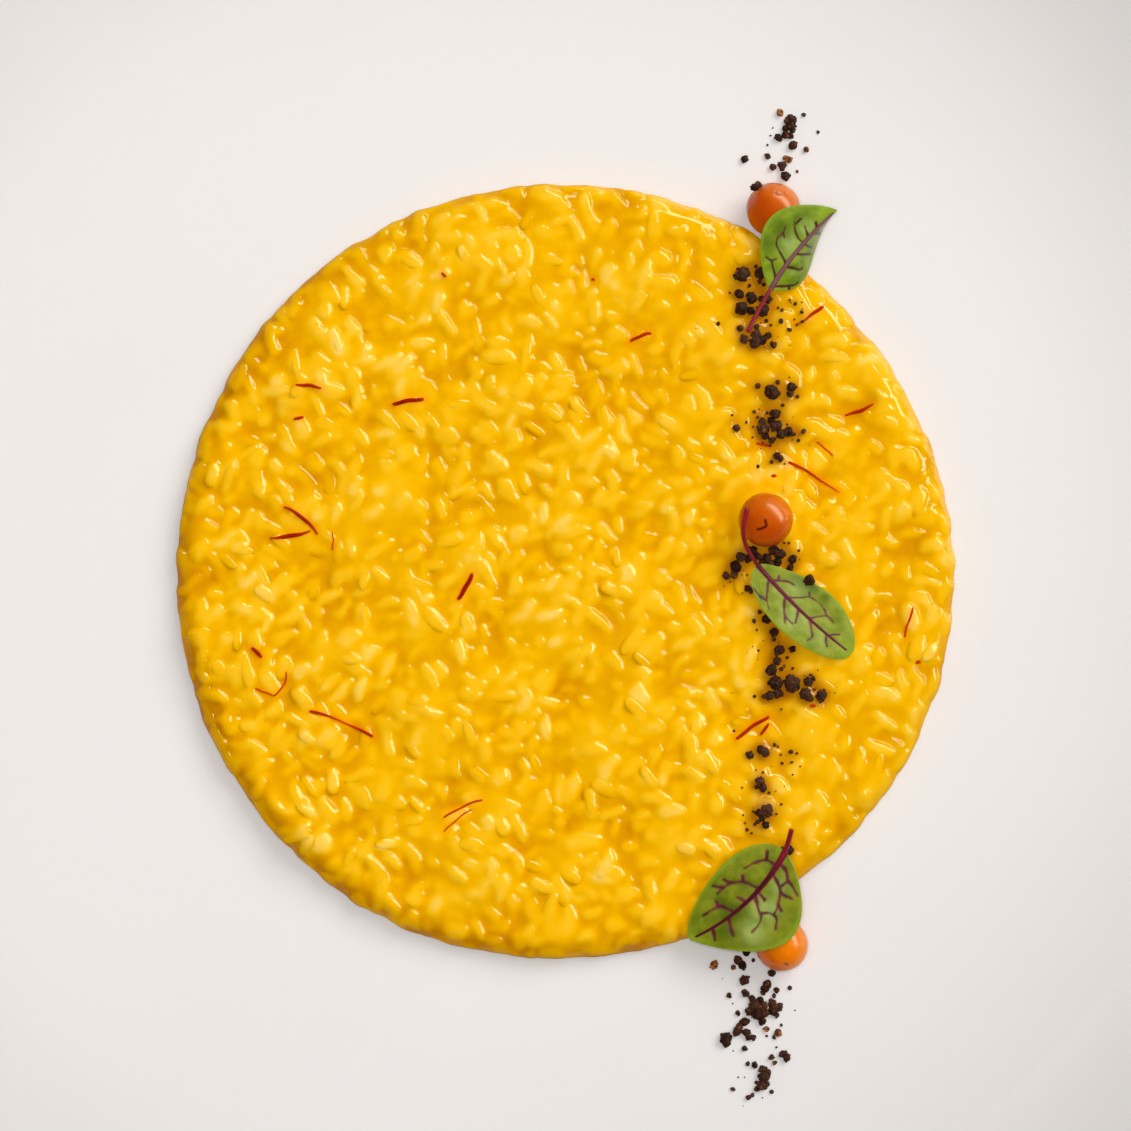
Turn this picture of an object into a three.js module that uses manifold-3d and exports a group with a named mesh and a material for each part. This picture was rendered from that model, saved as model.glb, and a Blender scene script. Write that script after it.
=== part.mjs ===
// Saffron risotto on a white coupe plate, dressed with three orange berries, three red-veined
// sorrel leaves, a line of dark crumbs and a scatter of saffron threads.
// Millimetres, +Z up. The plate's foot stands on z = 0 and the risotto is centred on the axis.

import * as THREE from 'three';
import { mergeVertices } from 'three/addons/utils/BufferGeometryUtils.js';
import { ConvexHull } from 'three/addons/math/ConvexHull.js';
import Module from 'manifold-3d';

const wasm = await Module();
wasm.setup();

// ---- driving dimensions

const gap = 0.3; // air between two touching pieces

const plateRadius = 165;
const plateHeight = 18;
const plateSides = 60;
const wallThickness = 4.2;
const wellRadius = 100; // the flat well, up to where the wall starts to rise
const wellHeight = 8.5;
const floorUnderside = 3.5;
const footInner = 90;
const footOuter = 96;
const footTaper = 2.5;

const puddleRadius = 77.4;
const puddleBase = wellHeight + gap;
const edgeThickness = 0.9;
const shoulderRise = 6.1; // from the thin edge to the level top
const shoulderWidth = 8;
const rimPoints = 188;
// slow waves of the outline: lobes, depth, direction in degrees
const outlineWaves = [
  [2, 0.15, -42],
  [3, 0.4, -43],
  [4, 0.11, -98],
  [6, 0.11, 33],
  [8, 0.07, 127],
];
// grain-sized scallops of the outline: lobes, depth, phase in degrees
const outlineScallops = [
  [41, 0.22, 20],
  [59, 0.2, 75],
  [67, 0.16, 140],
];
// broad heaps and hollows of the top: wavelength, direction in degrees, phase in degrees, height
const swells = [
  [37, 20, 34, 0.3],
  [29, 75, 120, 0.27],
  [23, 130, 229, 0.26],
  [19, 165, 69, 0.23],
  [16, 50, 292, 0.2],
  [13.5, 105, 189, 0.17],
  [11, 5, 11, 0.12],
];

const grainCount = 484;
const grainLength = 7.2;
const grainWidth = 3.3;
const grainCrown = 1.25; // height of a grain's back over the risotto between the grains
const grainSpacing = 2.95; // least distance between the backs of two grains
const grainTries = 40000;
const pointSpacing = 0.95; // no two relief points come closer than this
const rimClearance = 1.3; // relief points keep this far inside the outline

const berryRadius = 5.4;
const berryDetail = 3;
const berries = {
  berry_top: { at: [41.6, 72.4], radius: berryRadius, sink: 0, squash: 0.96 },
  berry_middle: { at: [40.0, 10.4], radius: berryRadius, sink: 1.5, squash: 0.97 },
  berry_bottom: { at: [43.4, -74.8], radius: 5.3, sink: 0, squash: 0.97 },
};

const leafThickness = 0.5;
const leafSteps = 12; // along the midrib
const leafColumns = 6; // across the blade
const stemRadius = 0.55;
const stemSides = 6;
const stemSteps = 5;
// base and tip of the midrib; width, skew and fullness shape each half's edge in plan; lift is
// how far that edge stands above the midrib
const leaves = {
  leaf_top: {
    base: [41.0, 56.4, 18.1],
    tip: [54.1, 72.1, 19.3],
    arch: 0.6,
    bow: 0,
    left: { width: 9.2, skew: 1.03, fullness: 0.72, lift: 1.1, liftSkew: 0.9 },
    right: { width: 4.0, skew: 0.44, fullness: 2.42, lift: -5.6, liftSkew: 1.3 },
    stem: [[36.5, 48.0, 18.3], [38.6, 52.2, 17.9]],
  },
  leaf_middle: {
    base: [38.4, 1.4, 18.4],
    tip: [57.1, -16.3, 17.9],
    arch: 0.9,
    bow: 0.6,
    left: { width: 5.1, skew: 1.25, fullness: 0.57, lift: 0.5, liftSkew: 1 },
    right: { width: 6.8, skew: 0.85, fullness: 0.4, lift: 0.7, liftSkew: 1 },
    stem: [[36.0, 12.6, 24.4], [35.3, 8.2, 23.7], [36.2, 4.8, 21.2]],
  },
  leaf_bottom: {
    base: [43.9, -55.8, 18.7],
    tip: [25.1, -73.5, 15.7],
    arch: 1.0,
    bow: 0.7,
    left: { width: 12.5, skew: 0.8, fullness: 0.8, lift: 2.7, liftSkew: 0.9 },
    right: { width: 7.3, skew: 0.82, fullness: 0.63, lift: 0.3, liftSkew: 1 },
    stem: [[45.1, -51.3, 20.4], [44.5, -53.8, 19.4]],
  },
};

// crumb clusters: centre x, y, half spread x, y, crumbs
const crumbSmallest = 0.75;
const crumbLargest = 1.35;
const crumbSink = 0.3; // part of its radius that a crumb sits below the surface
const risottoCrumbs = [
  [37.0, 55.4, 2.4, 2.6, 3],
  [38.4, 46.9, 1.6, 1.8, 3],
  [43.4, 36.2, 3.0, 1.2, 3],
  [41.0, 28.6, 3.4, 1.8, 4],
  [42.4, 23.0, 0.8, 1.0, 1],
  [34.6, 1.4, 2.0, 2.0, 2],
  [41.4, -17.4, 2.4, 3.0, 3],
  [44.6, -23.0, 3.6, 1.4, 4],
  [51.0, -24.6, 0.8, 0.8, 1],
  [39.6, -35.8, 2.4, 0.8, 2],
  [39.6, -44.6, 0.8, 3.4, 2],
  [40.0, -50.4, 1.6, 0.8, 1],
];
const plateCrumbs = [
  [45.2, 90.6, 1.6, 2.6, 2],
  [46.4, 85.4, 1.8, 1.6, 2],
  [43.4, 81.4, 1.6, 1.8, 2],
  [35.6, -79.6, 3.0, 1.4, 2],
  [40.8, -84.4, 2.4, 1.6, 2],
  [40.0, -89.6, 2.4, 1.6, 4],
  [35.2, -94.0, 1.8, 1.8, 3],
  [44.2, -98.2, 1.0, 0.8, 1],
  [40.0, -102.0, 1.0, 2.4, 2],
];

// saffron threads: one end x, y, other end x, y, sideways bend
const threadRadius = 0.45;
const threadSides = 3;
const threadStep = 3;
const threads = [
  [-53.8, 37.4, -48.8, 36.8, 0.2],
  [-34.4, 33.6, -28.4, 34.6, 0.1],
  [13.2, 46.2, 17.2, 47.8, 0.3],
  [-56.2, 13.0, -49.6, 7.6, 0.7],
  [-59.0, 6.8, -51.0, 8.2, 0.2],
  [-21.4, -5.4, -18.6, -0.4, -0.2],
  [-62.6, -15.2, -60.8, -17.0, 0],
  [-62.0, -23.4, -56.4, -24.0, -0.9],
  [-51.0, -27.8, -38.6, -33.0, 0.5],
  [-24.2, -49.2, -16.6, -45.6, -0.4],
  [44.8, 22.0, 55.0, 15.8, 0.4],
  [56.2, 31.4, 61.8, 33.6, -0.2],
  [34.4, -33.4, 40.8, -29.0, 0.2],
  [46.6, 49.6, 51.6, 53.2, -0.1],
  [68.0, -13.0, 69.8, -7.2, 0.2],
];

// ---- materials

const porcelain = new THREE.MeshStandardMaterial({ color: '#ebe7e5', roughness: 0.18, metalness: 0 });
const saffronRice = new THREE.MeshStandardMaterial({ color: '#f2b614', roughness: 0.3, metalness: 0 });
const berrySkin = new THREE.MeshStandardMaterial({ color: '#c8660f', roughness: 0.25, metalness: 0 });
const leafGreen = new THREE.MeshStandardMaterial({ color: '#7f8a40', roughness: 0.5, metalness: 0 });

// ---- helpers

const { lerp, degToRad, seededRandom } = THREE.MathUtils;

function randomBetween(low, high) {
  return lerp(low, high, seededRandom());
}

// a closed solid from a geometry: equal points joined, triangles without area left out
function toSolid(geometry) {
  geometry.deleteAttribute('normal');
  geometry.deleteAttribute('uv');
  const merged = mergeVertices(geometry, 1e-4);
  const corners = merged.index.array;
  const kept = [];
  for (let i = 0; i < corners.length; i += 3) {
    const [a, b, c] = corners.slice(i, i + 3);
    if (a !== b && b !== c && c !== a) kept.push(a, b, c);
  }
  return new wasm.Manifold(new wasm.Mesh({
    numProp: 3,
    vertProperties: Float32Array.from(merged.attributes.position.array),
    triVerts: Uint32Array.from(kept),
  }));
}

function toGeometry(solid) {
  const { vertProperties, triVerts } = solid.getMesh();
  const geometry = new THREE.BufferGeometry();
  geometry.setAttribute('position', new THREE.BufferAttribute(vertProperties, 3));
  geometry.setIndex(new THREE.BufferAttribute(triVerts, 1));
  geometry.computeVertexNormals();
  return geometry;
}

// the largest body of a solid, without the slivers that a join can shed
function mainBody(solid) {
  return solid.decompose().reduce((best, body) => (body.volume() > best.volume() ? body : best));
}

function namedMesh(name, solid, material) {
  const mesh = new THREE.Mesh(toGeometry(mainBody(solid)), material);
  mesh.name = name;
  return mesh;
}

function geometryFrom(points, triangles) {
  const geometry = new THREE.BufferGeometry().setFromPoints(points);
  geometry.setIndex(triangles);
  return geometry;
}

// height of a solid's top over a point of the plan
function surfaceFinder(solid) {
  const mesh = new THREE.Mesh(toGeometry(solid));
  const down = new THREE.Vector3(0, 0, -1);
  return (x, y) => {
    const ray = new THREE.Raycaster(new THREE.Vector3(x, y, plateHeight + 10), down);
    return ray.intersectObject(mesh)[0].point.z;
  };
}

// ---- plate

// A coupe plate: flat well, wall rising as a parabola to a round lip, and a foot ring below.
function platePoints() {
  const half = wallThickness / 2;
  const lipCentre = plateRadius - half;
  const rise = plateHeight - wellHeight;
  const wallSteps = 4;
  const lipSteps = 3;
  const midline = (t) => new THREE.Vector2(lerp(wellRadius, lipCentre, t), wellHeight - half + rise * t * t);
  const normal = (t) => new THREE.Vector2(-2 * rise * t / (lipCentre - wellRadius), 1).setLength(half);
  const points = [
    new THREE.Vector2(0, floorUnderside),
    new THREE.Vector2(footInner - footTaper, floorUnderside),
    new THREE.Vector2(footInner, 0),
    new THREE.Vector2(footOuter, 0),
    new THREE.Vector2(footOuter + footTaper, floorUnderside),
  ];
  for (let i = 1; i <= wallSteps; i++) points.push(midline(i / wallSteps).sub(normal(i / wallSteps)));
  const lipStart = normal(1).negate().angle();
  for (let i = 1; i <= lipSteps; i++) {
    const angle = lipStart + Math.PI * i / (lipSteps + 1);
    points.push(midline(1).add(new THREE.Vector2(Math.cos(angle), Math.sin(angle)).multiplyScalar(half)));
  }
  for (let i = wallSteps; i >= 0; i--) points.push(midline(i / wallSteps).add(normal(i / wallSteps)));
  points.push(new THREE.Vector2(0, wellHeight));
  return points;
}

function makePlate() {
  const geometry = new THREE.LatheGeometry(platePoints(), plateSides);
  geometry.rotateX(Math.PI / 2);
  return toSolid(geometry);
}

// ---- risotto

function outlineRadius(angle) {
  let radius = puddleRadius;
  for (const [lobes, depth, direction] of [...outlineWaves, ...outlineScallops]) {
    radius += depth * Math.cos(lobes * angle - degToRad(direction));
  }
  return radius;
}

// Height between the grains: a quarter-ellipse shoulder from the thin edge, then slow swells.
function bedHeight(x, y) {
  const inset = outlineRadius(Math.atan2(y, x)) - Math.hypot(x, y);
  const t = THREE.MathUtils.clamp(inset / shoulderWidth, 0, 1);
  const shoulder = Math.sqrt(1 - (1 - t) ** 2);
  let swell = 0;
  for (const [wavelength, direction, phase, height] of swells) {
    const along = x * Math.cos(degToRad(direction)) + y * Math.sin(degToRad(direction));
    swell += height * Math.sin(2 * Math.PI * along / wavelength + degToRad(phase));
  }
  return puddleBase + edgeThickness + shoulder * (shoulderRise + swell);
}

// Grains thrown one by one, each kept where its back clears every earlier back.
function scatterGrains() {
  const grains = [];
  const backHalf = (grainLength - grainWidth) / 2;
  for (let i = 0; i < grainTries && grains.length < grainCount; i++) {
    const radius = (puddleRadius - grainWidth) * Math.sqrt(seededRandom());
    const around = randomBetween(0, 2 * Math.PI);
    const turn = randomBetween(0, Math.PI);
    const centre = new THREE.Vector2(radius * Math.cos(around), radius * Math.sin(around));
    const along = new THREE.Vector2(Math.cos(turn), Math.sin(turn));
    const back = [-1, 0, 1].map((side) => centre.clone().addScaledVector(along, side * backHalf));
    const free = grains.every((other) =>
      centre.distanceTo(other.centre) > grainLength ||
      back.every((p) => other.back.every((q) => p.distanceTo(q) > grainSpacing)));
    if (free) grains.push({ centre, along, back, crown: grainCrown * randomBetween(0.7, 1.25) });
  }
  return grains;
}

// Relief points: two on each grain's back, then its foot points where there is room.
function reliefPoints(grains) {
  const points = [];
  const place = (flat, lift) => {
    const inside = flat.length() < outlineRadius(flat.angle()) - rimClearance;
    const apart = points.every((p) => Math.hypot(p.x - flat.x, p.y - flat.y) > pointSpacing);
    if (inside && apart) points.push(new THREE.Vector3(flat.x, flat.y, bedHeight(flat.x, flat.y) + lift));
  };
  for (const grain of grains) {
    place(grain.back[0], grain.crown);
    place(grain.back[2], grain.crown);
  }
  for (const { centre, along } of grains) {
    const across = new THREE.Vector2(-along.y, along.x);
    for (const side of [-1, 1]) {
      place(centre.clone().addScaledVector(across, side * grainWidth * 0.55), 0);
      place(centre.clone().addScaledVector(along, side * grainLength * 0.52), 0);
    }
  }
  return points;
}

// Delaunay triangles of the plan: the underside of the hull of the points on a paraboloid.
function triangulate(points) {
  const lifted = points.map((p) => new THREE.Vector3(p.x, p.y, (p.x * p.x + p.y * p.y) / puddleRadius));
  const order = new Map(lifted.map((p, i) => [p, i]));
  const triangles = [];
  for (const face of new ConvexHull().setFromPoints(lifted).faces) {
    const edges = [face.edge, face.edge.next, face.edge.next.next];
    if (face.normal.z < 0) triangles.push(edges.map((edge) => order.get(edge.head().point)).reverse());
  }
  return triangles;
}

// Toppings press the grains under them down to keep the gap.
function pressUnder(points, toppings) {
  for (const topping of toppings) {
    for (const corner of topping) {
      for (const point of points) {
        const reach = Math.hypot(point.x - corner.x, point.y - corner.y);
        if (reach < grainWidth * 0.7) point.z = Math.min(point.z, corner.z - 2 * gap);
      }
    }
  }
}

function makeBareRisotto(leafCorners) {
  const rim = [];
  for (let i = 0; i < rimPoints; i++) {
    const angle = 2 * Math.PI * i / rimPoints;
    const radius = outlineRadius(angle);
    const height = puddleBase + edgeThickness;
    rim.push(new THREE.Vector3(radius * Math.cos(angle), radius * Math.sin(angle), height));
  }
  const relief = reliefPoints(scatterGrains());
  pressUnder(relief, leafCorners);
  const top = [...rim, ...relief];
  const underside = rim.map((p) => new THREE.Vector3(p.x, p.y, puddleBase));
  const centre = new THREE.Vector3(0, 0, puddleBase);
  const triangles = [];
  for (const [a, b, c] of triangulate(top)) {
    const middle = new THREE.Vector3().add(top[a]).add(top[b]).add(top[c]).divideScalar(3);
    const onRim = Math.max(a, b, c) < rimPoints;
    const outside = Math.hypot(middle.x, middle.y) > outlineRadius(Math.atan2(middle.y, middle.x)) - 0.6;
    if (!(onRim && outside)) triangles.push(a, b, c);
  }
  const lower = top.length;
  const hub = lower + rimPoints;
  for (let i = 0; i < rimPoints; i++) {
    const next = (i + 1) % rimPoints;
    triangles.push(i, lower + i, lower + next, i, lower + next, next);
    triangles.push(hub, lower + next, lower + i);
  }
  return toSolid(geometryFrom([...top, ...underside, centre], triangles));
}

// ---- berries

function berryCentre({ at, radius, sink, squash }) {
  const support = sink > 0 ? puddleBase + edgeThickness + shoulderRise : wellHeight + gap;
  return new THREE.Vector3(at[0], at[1], support - sink + radius * squash);
}

function makeBerry(berry, margin = 0) {
  const radius = berry.radius + margin;
  const geometry = new THREE.IcosahedronGeometry(radius, berryDetail);
  geometry.scale(1, 0.97 + 0.03 * berry.squash, berry.squash);
  geometry.translate(...berryCentre(berry));
  return toSolid(geometry);
}

// ---- leaves

function edgeShape(u, skew, fullness) {
  return Math.max(0, Math.sin(Math.PI * u ** skew)) ** fullness;
}

// A point of the blade's middle surface: u from base to tip, s from -1 right edge to 1 left edge.
function bladePoint(leaf, u, s) {
  const base = new THREE.Vector3(...leaf.base);
  const tip = new THREE.Vector3(...leaf.tip);
  const run = new THREE.Vector2(tip.x - base.x, tip.y - base.y).normalize();
  const half = s < 0 ? leaf.right : leaf.left;
  const across = s * half.width * edgeShape(u, half.skew, half.fullness);
  const sideways = across + leaf.bow * 4 * u * (1 - u);
  const ruffle = 0.22 * s * s * Math.sin(9.5 * u + 3 * s);
  const rise = half.lift * edgeShape(u, half.liftSkew, 1) * Math.abs(s) ** 1.4;
  const point = base.lerp(tip, u);
  point.x += -run.y * sideways;
  point.y += run.x * sideways;
  point.z += leaf.arch * 4 * u * (1 - u) + rise + ruffle * edgeShape(u, 1, 0.5);
  return point;
}

function bladeNormal(leaf, u, s) {
  const step = 0.02;
  const near = THREE.MathUtils.clamp(u, 3 * step, 1 - 3 * step);
  const side = THREE.MathUtils.clamp(s, step - 1, 1 - step);
  const alongU = bladePoint(leaf, near + step, side).sub(bladePoint(leaf, near - step, side));
  const alongS = bladePoint(leaf, near, side + step).sub(bladePoint(leaf, near, side - step));
  return alongU.cross(alongS).normalize();
}

// Both faces of the blade are split into triangles alike; its edges close them.
function makeBlade(leaf) {
  const row = leafColumns + 1;
  const faces = [[], []];
  for (let i = 0; i <= leafSteps; i++) {
    const u = 0.5 - 0.5 * Math.cos(Math.PI * i / leafSteps);
    for (let j = 0; j < row; j++) {
      const s = 2 * j / leafColumns - 1;
      const offset = bladeNormal(leaf, u, s).multiplyScalar(leafThickness / 2);
      faces[0].push(bladePoint(leaf, u, s).add(offset));
      faces[1].push(bladePoint(leaf, u, s).sub(offset));
    }
  }
  const below = faces[0].length;
  const triangles = [];
  const quad = (a, b, c, d) => triangles.push(a, b, c, a, c, d);
  for (let i = 0; i < leafSteps; i++) {
    for (let j = 0; j < leafColumns; j++) {
      const a = i * row + j;
      const [b, c, d] = [a + row, a + row + 1, a + 1];
      triangles.push(a, b, c, a, c, d);
      triangles.push(below + a, below + c, below + b, below + a, below + d, below + c);
    }
    const [near, far] = [i * row, (i + 1) * row];
    quad(near, below + near, below + far, far);
    const [nearLeft, farLeft] = [near + leafColumns, far + leafColumns];
    quad(nearLeft, farLeft, below + farLeft, below + nearLeft);
  }
  const last = leafSteps * row;
  for (let j = 0; j < leafColumns; j++) {
    quad(j, j + 1, below + j + 1, below + j);
    quad(last + j, below + last + j, below + last + j + 1, last + j + 1);
  }
  return geometryFrom([...faces[0], ...faces[1]], triangles);
}

function rod(points, radius, sides, steps) {
  const section = new THREE.Shape();
  for (let i = 0; i < sides; i++) {
    const angle = 2 * Math.PI * i / sides;
    const corner = [radius * Math.cos(angle), radius * Math.sin(angle)];
    if (i === 0) section.moveTo(...corner);
    else section.lineTo(...corner);
  }
  const extrudePath = new THREE.CatmullRomCurve3(points);
  return new THREE.ExtrudeGeometry(section, { steps, extrudePath });
}

function makeLeaf(leaf) {
  const stem = leaf.stem.map((p) => new THREE.Vector3(...p));
  const path = [...stem, bladePoint(leaf, 0.02, 0), bladePoint(leaf, 0.16, 0)];
  return toSolid(makeBlade(leaf)).add(toSolid(rod(path, stemRadius, stemSides, stemSteps)));
}

// ---- small toppings, fused to what they lie on

// A crumb: an uneven icosahedron, turned at random.
function makeCrumb(centre, radius) {
  const geometry = new THREE.IcosahedronGeometry(radius);
  geometry.deleteAttribute('normal');
  geometry.deleteAttribute('uv');
  const lump = mergeVertices(geometry, 1e-4);
  const corners = lump.attributes.position;
  for (let i = 0; i < corners.count; i++) {
    const corner = new THREE.Vector3().fromBufferAttribute(corners, i);
    corners.setXYZ(i, ...corner.multiplyScalar(randomBetween(0.8, 1.15)));
  }
  lump.rotateX(randomBetween(0, Math.PI));
  lump.rotateZ(randomBetween(0, Math.PI));
  lump.translate(...centre);
  return toSolid(lump);
}

function clearOf(centre, reach, keepouts) {
  return keepouts.every((corners) => corners.every((corner) => corner.distanceTo(centre) > reach));
}

function addCrumbs(solid, clusters, keepouts) {
  const height = surfaceFinder(solid);
  const placed = [];
  let joined = solid;
  for (const [x, y, spreadX, spreadY, count] of clusters) {
    for (let i = 0, tries = 0; i < count && tries < 40; tries++) {
      const radius = randomBetween(crumbSmallest, crumbLargest);
      const cx = x + spreadX * randomBetween(-1, 1);
      const cy = y + spreadY * randomBetween(-1, 1);
      const centre = new THREE.Vector3(cx, cy, height(cx, cy) + radius * (1 - crumbSink));
      const free = clearOf(centre, radius * 1.15 + 4 * gap, keepouts) && clearOf(centre, radius * 2, [placed]);
      if (!free) continue;
      joined = joined.add(makeCrumb(centre, radius));
      placed.push(centre);
      i++;
    }
  }
  return joined;
}

function addThreads(solid) {
  const height = surfaceFinder(solid);
  let joined = solid;
  for (const [x1, y1, x2, y2, bend] of threads) {
    const length = Math.hypot(x2 - x1, y2 - y1);
    const steps = Math.max(2, Math.round(length / threadStep));
    const points = [];
    for (let i = 0; i <= steps; i++) {
      const t = i / steps;
      const sideways = bend * 4 * t * (1 - t) / length;
      const x = lerp(x1, x2, t) - (y2 - y1) * sideways;
      const y = lerp(y1, y2, t) + (x2 - x1) * sideways;
      points.push(new THREE.Vector3(x, y, height(x, y) + threadRadius * 0.4));
    }
    joined = joined.add(toSolid(rod(points, threadRadius, threadSides, steps)));
  }
  return joined;
}

function cornersOf(solid) {
  const position = toGeometry(solid).attributes.position;
  const corners = [];
  for (let i = 0; i < position.count; i++) corners.push(new THREE.Vector3().fromBufferAttribute(position, i));
  return corners;
}

// ---- the plated dish

function makeDish() {
  seededRandom(20);
  const dish = new THREE.Group();
  const toppings = [];
  const leafCorners = [];

  for (const [name, leaf] of Object.entries(leaves)) {
    const solid = makeLeaf(leaf);
    leafCorners.push(cornersOf(solid));
    toppings.push(namedMesh(name, solid, leafGreen));
  }
  for (const [name, berry] of Object.entries(berries)) {
    toppings.push(namedMesh(name, makeBerry(berry), berrySkin));
  }
  const berryCorners = Object.values(berries).map((berry) => cornersOf(makeBerry(berry)));
  const keepouts = [...leafCorners, ...berryCorners];

  const seat = makeBerry(berries.berry_middle, gap);
  const dressed = addThreads(addCrumbs(makeBareRisotto(leafCorners), risottoCrumbs, keepouts));
  const plate = addCrumbs(makePlate(), plateCrumbs, keepouts);

  dish.add(namedMesh('plate', plate, porcelain));
  dish.add(namedMesh('risotto', dressed.subtract(seat), saffronRice));
  dish.add(...toppings);
  return dish;
}

export default makeDish();
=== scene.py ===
# Saffron risotto on a white coupe plate: a glossy film of sauce over real grains, three orange
# berries, three red-veined sorrel leaves, a trail of dark crumbs and a scatter of saffron.
# Lengths in the dictionaries are millimetres; meshes are made in metres.

import math

import bmesh
import bpy
import numpy as np
from mathutils import Matrix, Vector, noise


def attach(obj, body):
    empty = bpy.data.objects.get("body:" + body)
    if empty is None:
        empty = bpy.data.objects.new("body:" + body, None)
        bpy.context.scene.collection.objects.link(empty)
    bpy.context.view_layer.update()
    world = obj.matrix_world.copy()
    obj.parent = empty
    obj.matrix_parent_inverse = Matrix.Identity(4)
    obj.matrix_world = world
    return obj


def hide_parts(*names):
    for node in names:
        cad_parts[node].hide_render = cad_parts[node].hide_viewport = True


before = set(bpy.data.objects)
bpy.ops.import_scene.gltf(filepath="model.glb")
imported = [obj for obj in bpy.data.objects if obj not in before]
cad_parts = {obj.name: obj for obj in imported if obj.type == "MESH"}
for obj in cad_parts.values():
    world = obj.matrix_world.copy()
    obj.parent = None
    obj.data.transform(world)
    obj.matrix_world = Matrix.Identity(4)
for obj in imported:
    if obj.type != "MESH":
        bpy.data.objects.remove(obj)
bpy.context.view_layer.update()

mm = 0.001


def linear(hexColour):
    channels = [int(hexColour[i:i + 2], 16) / 255 for i in (1, 3, 5)]
    return (*(c / 12.92 if c <= 0.04045 else ((c + 0.055) / 1.055) ** 2.4 for c in channels), 1.0)


def plug(tree, node, values):
    # gives each named or numbered input another socket to join to it, or a plain value
    for socket, value in values.items():
        if isinstance(value, bpy.types.NodeSocket):
            tree.links.new(value, node.inputs[socket])
        else:
            node.inputs[socket].default_value = value


def addNode(tree, kind, values=None, **settings):
    node = tree.nodes.new(kind)
    for name, value in settings.items():
        setattr(node, name, value)
    plug(tree, node, values or {})
    return node


def newMaterial(name):
    material = bpy.data.materials.new(name)
    material.use_nodes = True
    tree = material.node_tree
    tree.nodes.clear()
    shader = addNode(tree, "ShaderNodeBsdfPrincipled")
    addNode(tree, "ShaderNodeOutputMaterial", {"Surface": shader.outputs[0]})
    place = addNode(tree, "ShaderNodeTexCoord").outputs["Object"]
    return material, tree, shader, place


def mottled(tree, place, size, colours, detail=3.0):
    # two colours that drift into each other over patches of a size in millimetres
    patches = addNode(tree, "ShaderNodeTexNoise", {
        "Vector": place, "Scale": 1 / (size * mm), "Detail": detail})
    return addNode(tree, "ShaderNodeMix", {
        0: patches.outputs["Fac"], 6: linear(colours[0]), 7: linear(colours[1])},
        data_type="RGBA").outputs[2]


def fineRelief(tree, place, size, detail, strength, depth):
    # shading of a surface that is rough at a size in millimetres
    grain = addNode(tree, "ShaderNodeTexNoise", {
        "Vector": place, "Scale": 1 / (size * mm), "Detail": detail})
    return addNode(tree, "ShaderNodeBump", {
        "Height": grain.outputs["Fac"], "Strength": strength, "Distance": depth * mm})


def setStops(ramp, stops):
    # colours of a ramp, each with its place on the scale
    for element, (position, hexColour) in zip(ramp.elements, (stops[0], stops[-1])):
        element.position, element.color = position, linear(hexColour)
    for position, hexColour in stops[1:-1]:
        ramp.elements.new(position).color = linear(hexColour)


def meshPiece(name, points, faces, material, values=None):
    mesh = bpy.data.meshes.new(name)
    mesh.from_pydata((np.asarray(points) * mm).tolist(), [], faces)
    mesh.update()
    storeValues(mesh, values or {})
    mesh.shade_smooth()
    mesh.materials.append(material)
    piece = bpy.data.objects.new(name, mesh)
    bpy.context.scene.collection.objects.link(piece)
    return piece


def storeValues(mesh, values):
    for key, array in values.items():
        array = np.asarray(array, np.float32)
        kind = "FLOAT" if array.ndim == 1 else "FLOAT_VECTOR"
        field = "value" if array.ndim == 1 else "vector"
        attribute = mesh.attributes.new(key, kind, "POINT")
        attribute.data.foreach_set(field, array.ravel())


def pointsOf(mesh):
    flat = np.empty(len(mesh.vertices) * 3, np.float32)
    mesh.vertices.foreach_get("co", flat)
    return flat.reshape(-1, 3) / mm


def smoothStep(low, high, value):
    t = np.clip((value - low) / (high - low), 0, 1)
    return t * t * (3 - 2 * t)


def throughPoints(points, step):
    # a smooth path through a few points, one new point about every step
    points = np.asarray(points, float)
    padded = np.vstack([2 * points[0] - points[1], points, 2 * points[-1] - points[-2]])
    path = []
    for a, b, c, d in zip(padded, padded[1:], padded[2:], padded[3:]):
        pieces = max(1, int(math.ceil(np.linalg.norm(c - b) / step)))
        for t in np.arange(pieces) / pieces:
            path.append(0.5 * (2 * b + (c - a) * t + (2 * a - 5 * b + 4 * c - d) * t ** 2
                               + (3 * b - a - 3 * c + d) * t ** 3))
    path.append(points[-1])
    return np.array(path)


def distanceToPath(points, path):
    # distance of each point to the nearest stretch of the path
    best = np.full(len(points), 1e9)
    for a, b in zip(path[:-1], path[1:]):
        run = b - a
        t = np.clip((points - a) @ run / max(run @ run, 1e-12), 0, 1)
        best = np.minimum(best, np.linalg.norm(points - a - t[:, None] * run, axis=1))
    return best


def bandFaces(bands, sides, start=0):
    # quads between rings of points that follow one another
    quads = []
    for near in range(start, start + bands * sides, sides):
        for k in range(sides):
            far = (k + 1) % sides
            quads.append((near + k, near + sides + k, near + sides + far, near + far))
    return quads


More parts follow.
